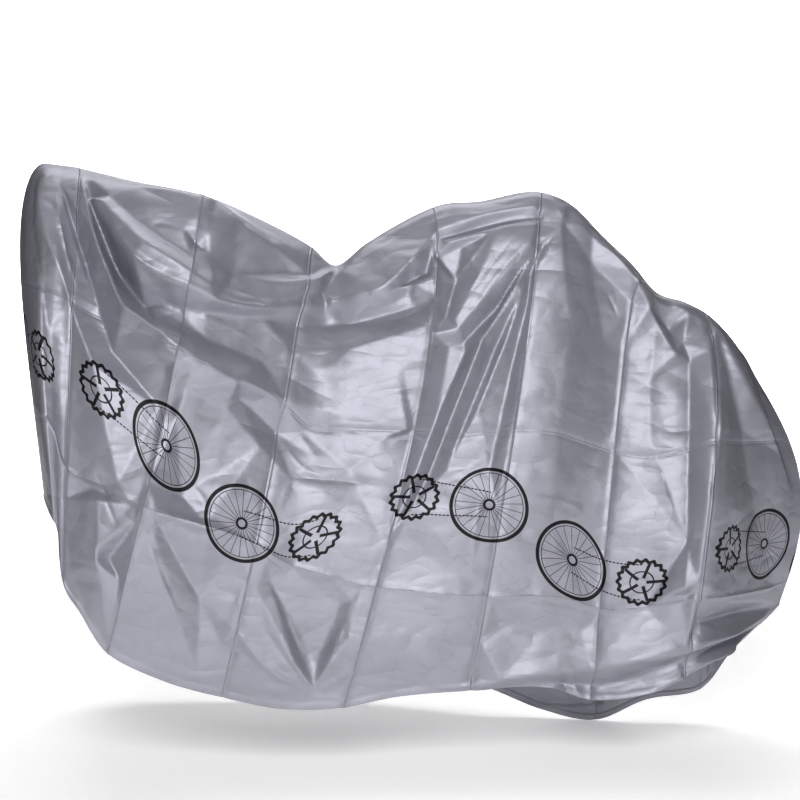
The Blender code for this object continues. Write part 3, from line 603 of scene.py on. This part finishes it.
def facets_between(folds, hem):
    """Triangles that join the folds' lines to each other and to the flat border of ridge and hem.

    Returns an array of triangles by three corners by right, up and height, in metres.
    """
    lines = np.array([row[1:] for row in folds], dtype=float).reshape(-1, 3, 3) * MM
    border = np.concatenate([RIDGE[:, 1:], hem[:, 1:]])
    corners = np.concatenate([lines.reshape(-1, 3), np.column_stack([border, np.zeros(len(border))])])
    first = np.arange(len(lines))[:, None] * 3
    pieces = np.concatenate([first + [0, 1], first + [1, 2]])
    flat = [Vector(corner) for corner in corners[:, :2]]
    spots, _, triangles, sources, _, _ = delaunay_2d_cdt(flat, pieces.tolist(), [], 0, SHARED_CORNER)
    starts, ends = lines[:, :2].reshape(-1, 3), lines[:, 1:].reshape(-1, 3)
    heights = [corners[source[0], 2] if source else height_on_lines(np.array(spot), starts, ends)
               for spot, source in zip(spots, sources)]
    net = np.column_stack([np.array([tuple(spot) for spot in spots]), heights])
    return net[np.array(triangles)]


def fold_lift(right, up, folds, hem):
    """The height of the flat facet over each place of the front view, worked out facet by facet."""
    lift = np.zeros(right.shape)
    for a, b, c in facets_between(folds, hem):
        low, high = np.minimum(np.minimum(a, b), c), np.maximum(np.maximum(a, b), c)
        near = (right >= low[0]) & (right <= high[0]) & (up >= low[1]) & (up <= high[1])
        x, z = right[near] - a[0], up[near] - a[1]
        side_b, side_c = b - a, c - a
        area = side_b[0] * side_c[1] - side_b[1] * side_c[0]
        if abs(area) < SMALLEST_FACET:
            continue
        to_b = (x * side_c[1] - z * side_c[0]) / area
        to_c = (z * side_b[0] - x * side_b[1]) / area
        height = a[2] + to_b * side_b[2] + to_c * side_c[2]
        inside = (to_b >= 0) & (to_c >= 0) & (to_b + to_c <= 1)
        lift[near] = np.where(inside, height, lift[near])
    return lift


def soft_fold_lift(right, up, side):
    """The height of the facets with their edges rounded: the mean of five places, FOLD_SOFTNESS apart."""
    places = [(0, 0), (-1, -1), (-1, 1), (1, -1), (1, 1)]
    lifts = [fold_lift(right + x * FOLD_SOFTNESS, up + z * FOLD_SOFTNESS, side.folds, side.hem)
             for x, z in places]
    return sum(lifts) / len(lifts)


def nearest_on_line(x, z, line_x, line_z):
    """Distance from each spot to a line of straight pieces, and the share of the line up to that place."""
    x, z = x[:, None], z[:, None]
    step_x, step_z = np.diff(line_x), np.diff(line_z)
    part = (x - line_x[:-1]) * step_x + (z - line_z[:-1]) * step_z
    part = np.clip(part / (step_x ** 2 + step_z ** 2), 0, 1)
    distance = np.hypot(x - line_x[:-1] - part * step_x, z - line_z[:-1] - part * step_z)
    nearest = distance.argmin(axis=1)
    pick = np.arange(len(nearest)), nearest
    return distance[pick], (nearest + part[pick]) / CURVE_STEPS


def crease_lift(right, up, creases):
    """Adds the fine creases up: each is a ridge with hollow flanks, along a parabola through three points.

    It rises over its first third and dies away over its last.
    """
    lift = np.zeros(right.shape)
    t = np.linspace(0, 1, CURVE_STEPS + 1)
    weights = np.stack([(1 - t) * (1 - 2 * t), 4 * t * (1 - t), t * (2 * t - 1)])
    for _, x0, z0, xm, zm, x1, z1, width, height in creases:
        line_x = np.array([x0, xm, x1]) @ weights * MM
        line_z = np.array([z0, zm, z1]) @ weights * MM
        reach = width * MM
        close = (right > line_x.min() - reach) & (right < line_x.max() + reach)
        close &= (up > line_z.min() - reach) & (up < line_z.max() + reach)
        distance, along = nearest_on_line(right[close], up[close], line_x, line_z)
        flank = np.clip(1 - distance / reach, 0, 1) ** CREASE_SHARPNESS
        ends = np.clip(3 * along, 0, 1) * np.clip(3 - 3 * along, 0, 1)
        lift[close] += height * CREASE_SHARE * MM * flank * ends
    return lift


def packing_lift(u, v):
    """Roof-shaped folds: one at each whole station, in and out by turns, and one along each packing row.

    Each has a broad flank and, on its crest, a narrow one that makes the line crisp.
    """
    from_column = np.abs(u - np.round(u))
    outward = np.where(np.round(u) % 2 == 0, 1.0, -1.0)
    broad = PACKING_COLUMN_LIFT * np.clip(1 - from_column / PACKING_REACH, 0, 1)
    crisp = PACKING_LINE_LIFT * np.clip(1 - from_column * STATION_LENGTH / PACKING_LINE_WIDTH, 0, 1)
    lift = outward * (broad + crisp)
    upper, lower = column_of(PACKING_ROWS, 1, u), column_of(PACKING_ROWS, 2, u)
    reach = PACKING_REACH * (lower - upper)
    for row, way in ((upper, -1), (lower, 1)):
        from_row = np.abs(v - row)
        broad = PACKING_ROW_LIFT * np.clip(1 - from_row / reach, 0, 1)
        crisp = PACKING_LINE_LIFT * np.clip(1 - from_row * DROP_LENGTH / PACKING_LINE_WIDTH, 0, 1)
        lift = lift + way * (broad + crisp)
    return lift


def facets(x, z, size, seed):
    """Flat facets between -1 and 1: corners of a triangular grid have random heights, joined by planes.

    The grid is skewed by a third one way and by a quarter the other, and a diagonal cuts each of its cells.
    """
    corner = np.random.default_rng(seed).uniform(-1, 1, (CRUMPLE_GRID, CRUMPLE_GRID))
    a, b = x / size + z / (3 * size), z / size - x / (4 * size)
    i, j = np.floor(a).astype(int), np.floor(b).astype(int)
    s, t = a - i, b - j
    i, next_i = i % CRUMPLE_GRID, (i + 1) % CRUMPLE_GRID
    j, next_j = j % CRUMPLE_GRID, (j + 1) % CRUMPLE_GRID
    here, across = corner[i, j], corner[next_i, next_j]
    right, up = corner[next_i, j], corner[i, next_j]
    below = here + (right - here) * s + (across - right) * t
    above = here + (up - here) * t + (across - up) * s
    return np.where(s > t, below, above)


def crumple_lift(x, z, seed):
    """The film's crumple: facets of each size in CRUMPLE, on a grid that coarser facets bend."""
    lift = np.zeros(x.shape)
    for number, (size, height, bend) in enumerate(CRUMPLE, seed):
        bent_x = x + bend * facets(x, z, size * BENDING_SIZES[0], number + BENDING_SEEDS[0])
        bent_z = z + bend * facets(x, z, size * BENDING_SIZES[1], number + BENDING_SEEDS[1])
        lift += height * facets(bent_x, bent_z, size, number)
    return lift


def calm(u, v):
    """0 at the ridge and at both ends, where the two sides meet, rising to 1 a little way in."""
    at_ridge = np.clip(v / RIDGE_CALM, 0, 1)
    at_ends = np.clip(u / END_CALM, 0, 1) * np.clip((LAST_STATION - u) / END_CALM, 0, 1)
    return at_ridge * at_ends


# The film as a mesh

def film_points(u, v, side, inset):
    """The points of one side: the smooth tent, lifted along its normal by folds, creases and crumple.

    The turned-in strip lies behind the film by its inset.
    """
    normals = outward_normals(tent, u, v, NORMAL_STEP, NORMAL_STEP, side)
    right, up = front_view(u, v, side.hem)
    lift = soft_fold_lift(right, up, side) + crease_lift(right, up, side.creases)
    lift = (lift + packing_lift(u, v) + crumple_lift(right, up, side.seed)) * calm(u, v)
    lift += HEM_STEP * np.clip((v - 1 + HEM_WIDTH / DROP_LENGTH) * HEM_STEEPNESS, 0, 1) - inset
    return tent(u, v, side) + normals * lift[..., None]


def points_and_normals(u, v, inset, side):
    """The points of one side and its outward normals, each across about one cell around its point."""
    step_u, step_v = SHADING_REACH * LAST_STATION / COLUMNS, SHADING_REACH / ROWS
    normals = outward_normals(film_points, u, v, step_u, step_v, side, inset)
    return film_points(u, v, side, inset), normals


def print_coordinates(u, v, side):
    """Metres along the print band from the fore end, and metres down from the band, on the smooth tent."""
    band = PRINT_BAND[0] + PRINT_BAND[1] * u
    down = np.linalg.norm(np.diff(tent(u, v, side), axis=0), axis=-1)
    down = np.concatenate([np.zeros((1, u.shape[1])), np.cumsum(down, axis=0)])
    line = tent(u[0], band[0], side)
    along = np.concatenate([[0], np.cumsum(np.linalg.norm(np.diff(line, axis=0), axis=-1))])
    at_band = np.array([np.interp(band[0, k], v[:, k], down[:, k]) for k in range(u.shape[1])])
    return np.broadcast_to(along, u.shape), down - at_band


def packing_coordinates(u, v):
    """Numbers that are whole on the packing folds: the station, and 1 and 2 on the upper and the lower row.

    The second is kept from 0.5 to 2.5, so that ridge and hem are no folds.
    """
    upper, lower = column_of(PACKING_ROWS, 1, u), column_of(PACKING_ROWS, 2, u)
    above = np.minimum(v / upper, 1)
    between = np.clip((v - upper) / (lower - upper), 0, 1)
    below = np.maximum(v - lower, 0) / (1 - lower)
    return u, np.clip(above + between + below, 0.5, 2.5)


def coordinates_around(near_grid, far_grid):
    """The film's coordinates all the way round: two for the print, then two for the packing folds.

    The print is stretched along the band, so that whole cells fill the round.
    """
    near, far = (np.stack([*print_coordinates(u, v, side), *packing_coordinates(u, v)], axis=-1)
                 for (u, v, _), side in ((near_grid, NEAR_SIDE), (far_grid, FAR_SIDE)))
    far[..., 0] += near[0, -1, 0]
    length = far[0, -1, 0]
    around = np.concatenate([near, far[:, 1:]], axis=1)
    around[..., 0] *= PRINT_COUNT * PRINT_PITCH / length
    return around


def sheet_grid():
    """Station, drop and inset of each point: rows that crowd at the ridge, then the turned-in strip."""
    fall = np.linspace(0, 1, ROWS + 1) ** TOP_SPREAD
    strip = 1 - np.linspace(HEM_START, 1, HEM_ROWS) * HEM_WIDTH / DROP_LENGTH
    u = np.linspace(0, LAST_STATION, COLUMNS + 1)[None, :]
    v = np.concatenate([fall, strip])[:, None]
    inset = np.concatenate([np.zeros(ROWS + 1), np.full(HEM_ROWS, HEM_GAP)])[:, None]
    return np.broadcast_arrays(u, v, inset)


def cell_corners(grid, axis):
    """The four corners of each cell of a grid: its first, the one below, the one across, the one beside."""
    return np.stack([grid[:-1, :-1], grid[1:, :-1], grid[1:, 1:], grid[:-1, 1:]], axis=axis)


def film_faces(around):
    """The faces of the film, and the four coordinates of each face's corners.

    The points are the ridge's, then each row's all the way round. A face of the far side that meets the
    ridge has five corners, because the far side has every other column.
    """
    count = around.shape[1] - 1
    rings = COLUMNS + 1 + np.arange((len(around) - 1) * count).reshape(-1, count)
    rings = np.concatenate([rings, rings[:, :1]], axis=1)
    ridge = np.arange(COLUMNS + 1)
    near_top = cell_corners(np.stack([ridge, rings[0, :COLUMNS + 1]]), -1)
    below = rings[0, COLUMNS:]
    far_top = np.stack([ridge[:0:-2], below[:-1], below[1:], ridge[-3::-2], ridge[-2::-2]], axis=-1)
    faces = cell_corners(rings, -1).reshape(-1, 4).tolist() + near_top[0].tolist() + far_top.tolist()

    line, line_below = around[:2, COLUMNS:]
    middle = (line[:-1] + line[1:]) / 2
    far_corners = np.stack([line[:-1], line_below[:-1], line_below[1:], line[1:], middle], axis=-2)
    corners = (cell_corners(around[1:], -2), cell_corners(around[:2, :COLUMNS + 1], -2), far_corners)
    return faces, np.concatenate([part.reshape(-1, 4) for part in corners])


def film_mesh():
    """The whole film as one sheet: near and far side share the ridge, the far side has every other column.

    Returns the points, their normals, the faces and, for each face's corners, the coordinates on the sheet.
    At the ridge the normals lean to neither side, and the turned-in strip faces inwards.
    """
    near_grid = sheet_grid()
    far_grid = [part[:, ::-2] for part in near_grid]
    near, near_normals = points_and_normals(*near_grid, NEAR_SIDE)
    far, far_normals = points_and_normals(*far_grid, FAR_SIDE)
    near_normals[0, :, 1] = 0
    around_normals = np.concatenate([near_normals[1:], far_normals[1:, 1:-1]], axis=1)
    around_normals[ROWS:] *= -1
    around = np.concatenate([near[1:], far[1:, 1:-1]], axis=1)
    points = np.concatenate([near[0], around.reshape(-1, 3)])
    normals = np.concatenate([near_normals[0], around_normals.reshape(-1, 3)])
    return points, normals, *film_faces(coordinates_around(near_grid, far_grid))


def rest_point():
    """The point under the film where the aft peak rests, which is the frame's origin."""
    u = np.array([REST_STATION])
    top = in_space(column_of(RIDGE, 1, u), column_of(RIDGE, 2, u), 0.0)[0]
    return top - np.array([0, 0, SOLID_THICKNESS])


# Materials

def maths(operation, *values):
    """A Math node on numbers, the first a socket and the others sockets or plain; returns its output."""
    tree = values[0].id_data
    node = tree.nodes.new("ShaderNodeMath")
    node.operation = operation
    for entry, value in zip(node.inputs, values):
        if isinstance(value, (int, float)):
            entry.default_value = value
        else:
            tree.links.new(value, entry)
    return node.outputs[0]


def node_on(source, kind, entry):
    """A new node of this kind, fed by the source at this entry."""
    node = source.id_data.nodes.new(kind)
    source.id_data.links.new(source, node.inputs[entry])
    return node


def vector_maths(operation, first, second):
    """A Vector Math node on two sockets, or on a socket and a plain vector."""
    node = node_on(first, "ShaderNodeVectorMath", 0)
    node.operation = operation
    if isinstance(second, tuple):
        node.inputs[1].default_value = second
    else:
        first.id_data.links.new(second, node.inputs[1])
    return node


def clamped(value):
    """The value, kept between 0 and 1."""
    return node_on(value, "ShaderNodeClamp", "Value").outputs["Result"]


def mixed_number(factor, low, high):
    """From low to high as the factor goes from 0 to 1."""
    return maths("MULTIPLY_ADD", factor, high - low, low)


def within(distance, limit):
    """1 where the distance is under the limit and 0 where it is over, with a narrow fade."""
    return clamped(maths("MULTIPLY_ADD", distance, -EDGE_SHARPNESS, 0.5 + EDGE_SHARPNESS * limit))


def polar(x, y, centre_x):
    """Distance and angle around (centre_x, 0)."""
    shifted = maths("SUBTRACT", x, centre_x)
    distance = maths("SQRT", maths("MULTIPLY_ADD", y, y, maths("MULTIPLY", shifted, shifted)))
    return distance, maths("ARCTAN2", y, shifted)


def circle(distance, radius, half_width):
    """A circle's line: 1 within half_width of the radius."""
    return within(maths("ABSOLUTE", maths("SUBTRACT", distance, radius)), half_width)


def rays(distance, angle, count, half_width, inner, outer):
    """Straight lines from the centre, evenly turned, between two radii.

    Across a ray the offset is the distance times the sine of count / 2 times the angle, over count / 2.
    """
    wave = maths("ABSOLUTE", maths("SINE", maths("MULTIPLY", angle, count / 2)))
    offset = maths("MULTIPLY", maths("MULTIPLY", wave, distance), 2.0 / count)
    middle, half = (inner + outer) / 2, (outer - inner) / 2
    return maths("MULTIPLY", within(offset, half_width), circle(distance, middle, half))


def print_cell(uv):
    """The place in a cell of the band, sideways and down from its middle.

    Every other cell is flipped and stepped the other way, and a cell leans by PRINT_TILT.
    """
    along, down, _ = node_on(uv, "ShaderNodeSeparateXYZ", 0).outputs
    cell = maths("FLOOR", maths("DIVIDE", along, PRINT_PITCH))
    way = maths("MULTIPLY_ADD", maths("MODULO", cell, 2.0), -2.0, 1.0)
    middle = maths("MULTIPLY", maths("ADD", cell, 0.5), PRINT_PITCH)
    x = maths("MULTIPLY", maths("SUBTRACT", along, middle), way)
    stepped = maths("MULTIPLY_ADD", way, -PRINT_STEP, down)
    return x, maths("MULTIPLY_ADD", x, PRINT_TILT, stepped)


def spoked_ring(x, y):
    """The lines of the big ring: a rim, a thin rim inside it, a hub, and spokes."""
    distance, angle = polar(x, y, -PRINT_REACH)
    return [circle(distance, *size) for size in BIG_CIRCLES] + [rays(distance, angle, *SPOKES)]


def toothed_ring(x, y):
    """The lines of the small ring: a rim that swings in and out as teeth, a circle inside it, and arms."""
    distance, angle = polar(x, y, PRINT_REACH)
    swing = maths("SINE", maths("MULTIPLY", angle, TOOTH_COUNT))
    teeth = maths("MULTIPLY_ADD", swing, TOOTH_HEIGHT, distance)
    return [circle(teeth, *TOOTHED_CIRCLE), circle(distance, *SMALL_CIRCLE), rays(distance, angle, *ARMS)]


def joining_lines(x, y):
    """Two beaded lines from ring to ring, above and below the middle: their width swings like a sine."""
    slope = maths("MULTIPLY_ADD", x, CHAIN_SLOPE, CHAIN_HEIGHT)
    off = maths("ABSOLUTE", maths("SUBTRACT", maths("ABSOLUTE", y), slope))
    swing = maths("SINE", maths("MULTIPLY", x, BEAD_RATE))
    width = maths("MULTIPLY_ADD", swing, BEAD_SWELL, CHAIN_LINE)
    line = clamped(maths("MULTIPLY", maths("SUBTRACT", width, off), EDGE_SHARPNESS))
    return maths("MULTIPLY", line, within(maths("ABSOLUTE", x), PRINT_REACH))


def print_mask(uv):
    """The printed band: a spoked ring and a toothed ring joined by lines, flipped and stepped by turns."""
    x, y = print_cell(uv)
    mask = joining_lines(x, y)
    for line in spoked_ring(x, y) + toothed_ring(x, y):
        mask = maths("MAXIMUM", mask, line)
    return mask


def stretched(vector, scale):
    """The vector, scaled along each axis."""
    node = node_on(vector, "ShaderNodeMapping", "Vector")
    node.inputs["Scale"].default_value = scale
    return node.outputs["Vector"]


def noise(vector, scale, detail):
    """A noise from 0 to 1, with this many waves to a unit and this many finer octaves."""
    node = node_on(vector, "ShaderNodeTexNoise", "Vector")
    node.inputs["Scale"].default_value = scale
    node.inputs["Detail"].default_value = detail
    return node.outputs["Fac"]


def wrinkle_height(place, size, height):
    """Long wrinkles: a soft noise, folded over at its middle so that it has a sharp crease there."""
    folded = maths("ABSOLUTE", maths("SUBTRACT", noise(place, 1 / size, WRINKLE_DETAIL), 0.5))
    return maths("MULTIPLY", folded, height)


def facet_height(place, size, slope):
    """Small facets: each cell of about this size is a plane through its centre, tilted at random."""
    cells = node_on(place, "ShaderNodeTexVoronoi", "Vector")
    cells.inputs["Scale"].default_value = 1 / size
    offset = vector_maths("SUBTRACT", place, cells.outputs["Position"])
    tilt = vector_maths("SUBTRACT", cells.outputs["Color"], (0.5, 0.5, 0.5))
    plane = vector_maths("DOT_PRODUCT", offset.outputs["Vector"], tilt.outputs["Vector"])
    return maths("MULTIPLY", plane.outputs["Value"], 2 * slope)


def crease_height(number, length, lift):
    """A sharp ridge of this lift where the number is whole; one unit of it is this length of film."""
    gap = maths("ABSOLUTE", maths("SUBTRACT", number, maths("ROUND", number)))
    return maths("MULTIPLY", clamped(maths("MULTIPLY_ADD", gap, -length / CREASE_WIDTH, 1.0)), lift)


def film_relief(uv, packing, place):
    """Height in metres: creases at whole numbers of the packing map, facets, wrinkles and a fine grain."""
    station, row, _ = node_on(packing, "ShaderNodeSeparateXYZ", 0).outputs
    upright = crease_height(station, STATION_LENGTH, CREASE_LIFTS[0])
    level = crease_height(row, DROP_LENGTH / PACKING_BANDS, CREASE_LIFTS[1])
    height = maths("ADD", upright, level)
    height = maths("ADD", height, facet_height(place, *FACETS))
    wrinkled = stretched(place, WRINKLE_STRETCH)
    for size, lift in WRINKLES:
        height = maths("ADD", height, wrinkle_height(wrinkled, size, lift))
    grain = noise(stretched(uv, GRAIN_RATE), 1.0, GRAIN_DETAIL)
    return maths("MULTIPLY_ADD", grain, GRAIN_LIFT, height)


def uv_map(tree, name):
    """The coordinates of one of the piece's own UV maps."""
    node = tree.nodes.new("ShaderNodeUVMap")
    node.uv_map = name
    return node.outputs["UV"]


def film_colour(tree, place, mask):
    """Two silvers in soft patches, and ink where the mask is 1."""
    silver, colour = (tree.nodes.new("ShaderNodeMix") for _ in range(2))
    silver.data_type = colour.data_type = "RGBA"
    silver.inputs["A"].default_value = FILM_DARK
    silver.inputs["B"].default_value = FILM_LIGHT
    colour.inputs["B"].default_value = INK
    tree.links.new(noise(place, MOTTLE_SCALE, MOTTLE_DETAIL), silver.inputs["Factor"])
    tree.links.new(mask, colour.inputs["Factor"])
    tree.links.new(silver.outputs["Result"], colour.inputs["A"])
    return colour.outputs["Result"]


def film_material():
    """Satin silver film: a metallic plastic with fine lines along the roll, a mottle, and black ink."""
    material = bpy.data.materials.new("silver film")
    material.use_nodes = True
    tree = material.node_tree
    shader = tree.nodes["Principled BSDF"]
    shader.inputs["Specular IOR Level"].default_value = FILM_SPECULAR
    uv, packing = uv_map(tree, "film"), uv_map(tree, "packing")
    place = tree.nodes.new("ShaderNodeTexCoord").outputs["Object"]
    mask = print_mask(uv)
    tree.links.new(film_colour(tree, place, mask), shader.inputs["Base Color"])
    tree.links.new(mixed_number(mask, FILM_METALLIC, 0.0), shader.inputs["Metallic"])
    tree.links.new(mixed_number(mask, FILM_ROUGHNESS, INK_ROUGHNESS), shader.inputs["Roughness"])
    bump = node_on(film_relief(uv, packing, place), "ShaderNodeBump", "Height")
    bump.inputs["Distance"].default_value = 1.0
    bump.inputs["Strength"].default_value = 1.0
    tree.links.new(bump.outputs["Normal"], shader.inputs["Normal"])
    return material


def floor_material():
    """Matt and pale, with a glow of its own."""
    material = bpy.data.materials.new("pale floor")
    material.use_nodes = True
    shader = material.node_tree.nodes["Principled BSDF"]
    shader.inputs["Base Color"].default_value = FLOOR_COLOUR
    shader.inputs["Roughness"].default_value = FLOOR_ROUGHNESS
    shader.inputs["Emission Color"].default_value = WHITE
    shader.inputs["Emission Strength"].default_value = FLOOR_GLOW
    return material


# Pieces

def in_scene(name, data):
    """A new object in the scene."""
    thing = bpy.data.objects.new(name, data)
    bpy.context.scene.collection.objects.link(thing)
    return thing


def make_cover(origin):
    """The film as one object, with its coordinates on the sheet and on the packing folds as UV maps."""
    points, normals, faces, corners = film_mesh()
    mesh = bpy.data.meshes.new("film")
    mesh.from_pydata((points - origin).tolist(), [], faces)
    for name, first in (("film", 0), ("packing", 2)):
        layer = mesh.uv_layers.new(name=name)
        layer.uv.foreach_set("vector", corners[:, first:first + 2].astype(np.float32).ravel())
    mesh.materials.append(film_material())
    mesh.shade_smooth()
    mesh.normals_split_custom_set_from_vertices(normals)
    film = in_scene("film", mesh)
    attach(film, "root")
    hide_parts("cover")
    return film


def make_floor(height):
    """A floor that sweeps up behind into a wall: a profile of two straight lines and a quarter circle."""
    turn = np.linspace(0, math.pi / 2, SWEEP_STEPS + 1)
    y = np.concatenate([[FLOOR_FRONT], WALL_Y - SWEEP + SWEEP * np.sin(turn), [WALL_Y]])
    z = np.concatenate([[0.0], SWEEP - SWEEP * np.cos(turn), [WALL_HEIGHT]]) + height
    x = np.array([-FLOOR_SIDE, FLOOR_SIDE])
    points = np.stack(np.broadcast_arrays(x[None, :], y[:, None], z[:, None]), axis=-1).reshape(-1, 3)
    row = np.arange(len(y) - 1) * 2
    faces = np.stack([row, row + 1, row + 3, row + 2], axis=-1)
    mesh = bpy.data.meshes.new("floor")
    mesh.from_pydata(points.tolist(), [], faces.tolist())
    mesh.materials.append(floor_material())
    mesh.shade_smooth()
    floor = in_scene("floor", mesh)


def aim(thing, place, target):
    """Puts a light or a camera at a place and turns it to the target."""
    thing.location = place
    thing.rotation_euler = (Vector(target) - Vector(place)).to_track_quat("-Z", "Y").to_euler()


def make_lights(origin):
    """The softboxes, a faint even light from all round, and how the light turns into tones."""
    for name, place, target, size, power, spread in SOFTBOXES:
        data = bpy.data.lights.new(name, "AREA")
        data.shape = "RECTANGLE"
        data.size, data.size_y = size
        data.energy = power
        data.spread = math.radians(spread)
        aim(in_scene(name, data), np.array(place) - origin, np.array(target) - origin)
    world = bpy.data.worlds.new("studio")
    world.use_nodes = True
    sky = world.node_tree.nodes["Background"]
    sky.inputs["Color"].default_value = WHITE
    sky.inputs["Strength"].default_value = ROOM_LIGHT
    scene = bpy.context.scene
    scene.world = world
    scene.view_settings.view_transform = "Standard"
    scene.view_settings.look = "Medium High Contrast"
    scene.view_settings.exposure = EXPOSURE


def make_camera(origin):
    """The eye of the front view: EYE_DISTANCE from the aim point, looking down by EYE_TILT."""
    data = bpy.data.cameras.new("camera")
    data.sensor_width = SENSOR_WIDTH
    data.lens = data.sensor_width * EYE_DISTANCE / VIEW_WIDTH
    camera = in_scene("camera", data)
    target = np.array([0, 0, AIM_HEIGHT])
    back = np.array([0, -math.cos(EYE_TILT), math.sin(EYE_TILT)])
    aim(camera, target + EYE_DISTANCE * back - origin, target - origin)
    bpy.context.scene.camera = camera


def main():
    """The cover, then the floor just under it, the lights and the camera."""
    origin = rest_point()
    film = make_cover(origin)
    make_floor(min(corner[2] for corner in film.bound_box))
    make_lights(origin)
    make_camera(origin)


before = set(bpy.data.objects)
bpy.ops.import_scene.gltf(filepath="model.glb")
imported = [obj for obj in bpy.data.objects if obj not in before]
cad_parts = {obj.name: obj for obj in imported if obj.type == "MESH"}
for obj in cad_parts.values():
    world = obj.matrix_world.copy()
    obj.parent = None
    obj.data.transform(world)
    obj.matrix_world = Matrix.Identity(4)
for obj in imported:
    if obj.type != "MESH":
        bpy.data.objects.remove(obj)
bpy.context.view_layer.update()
main()
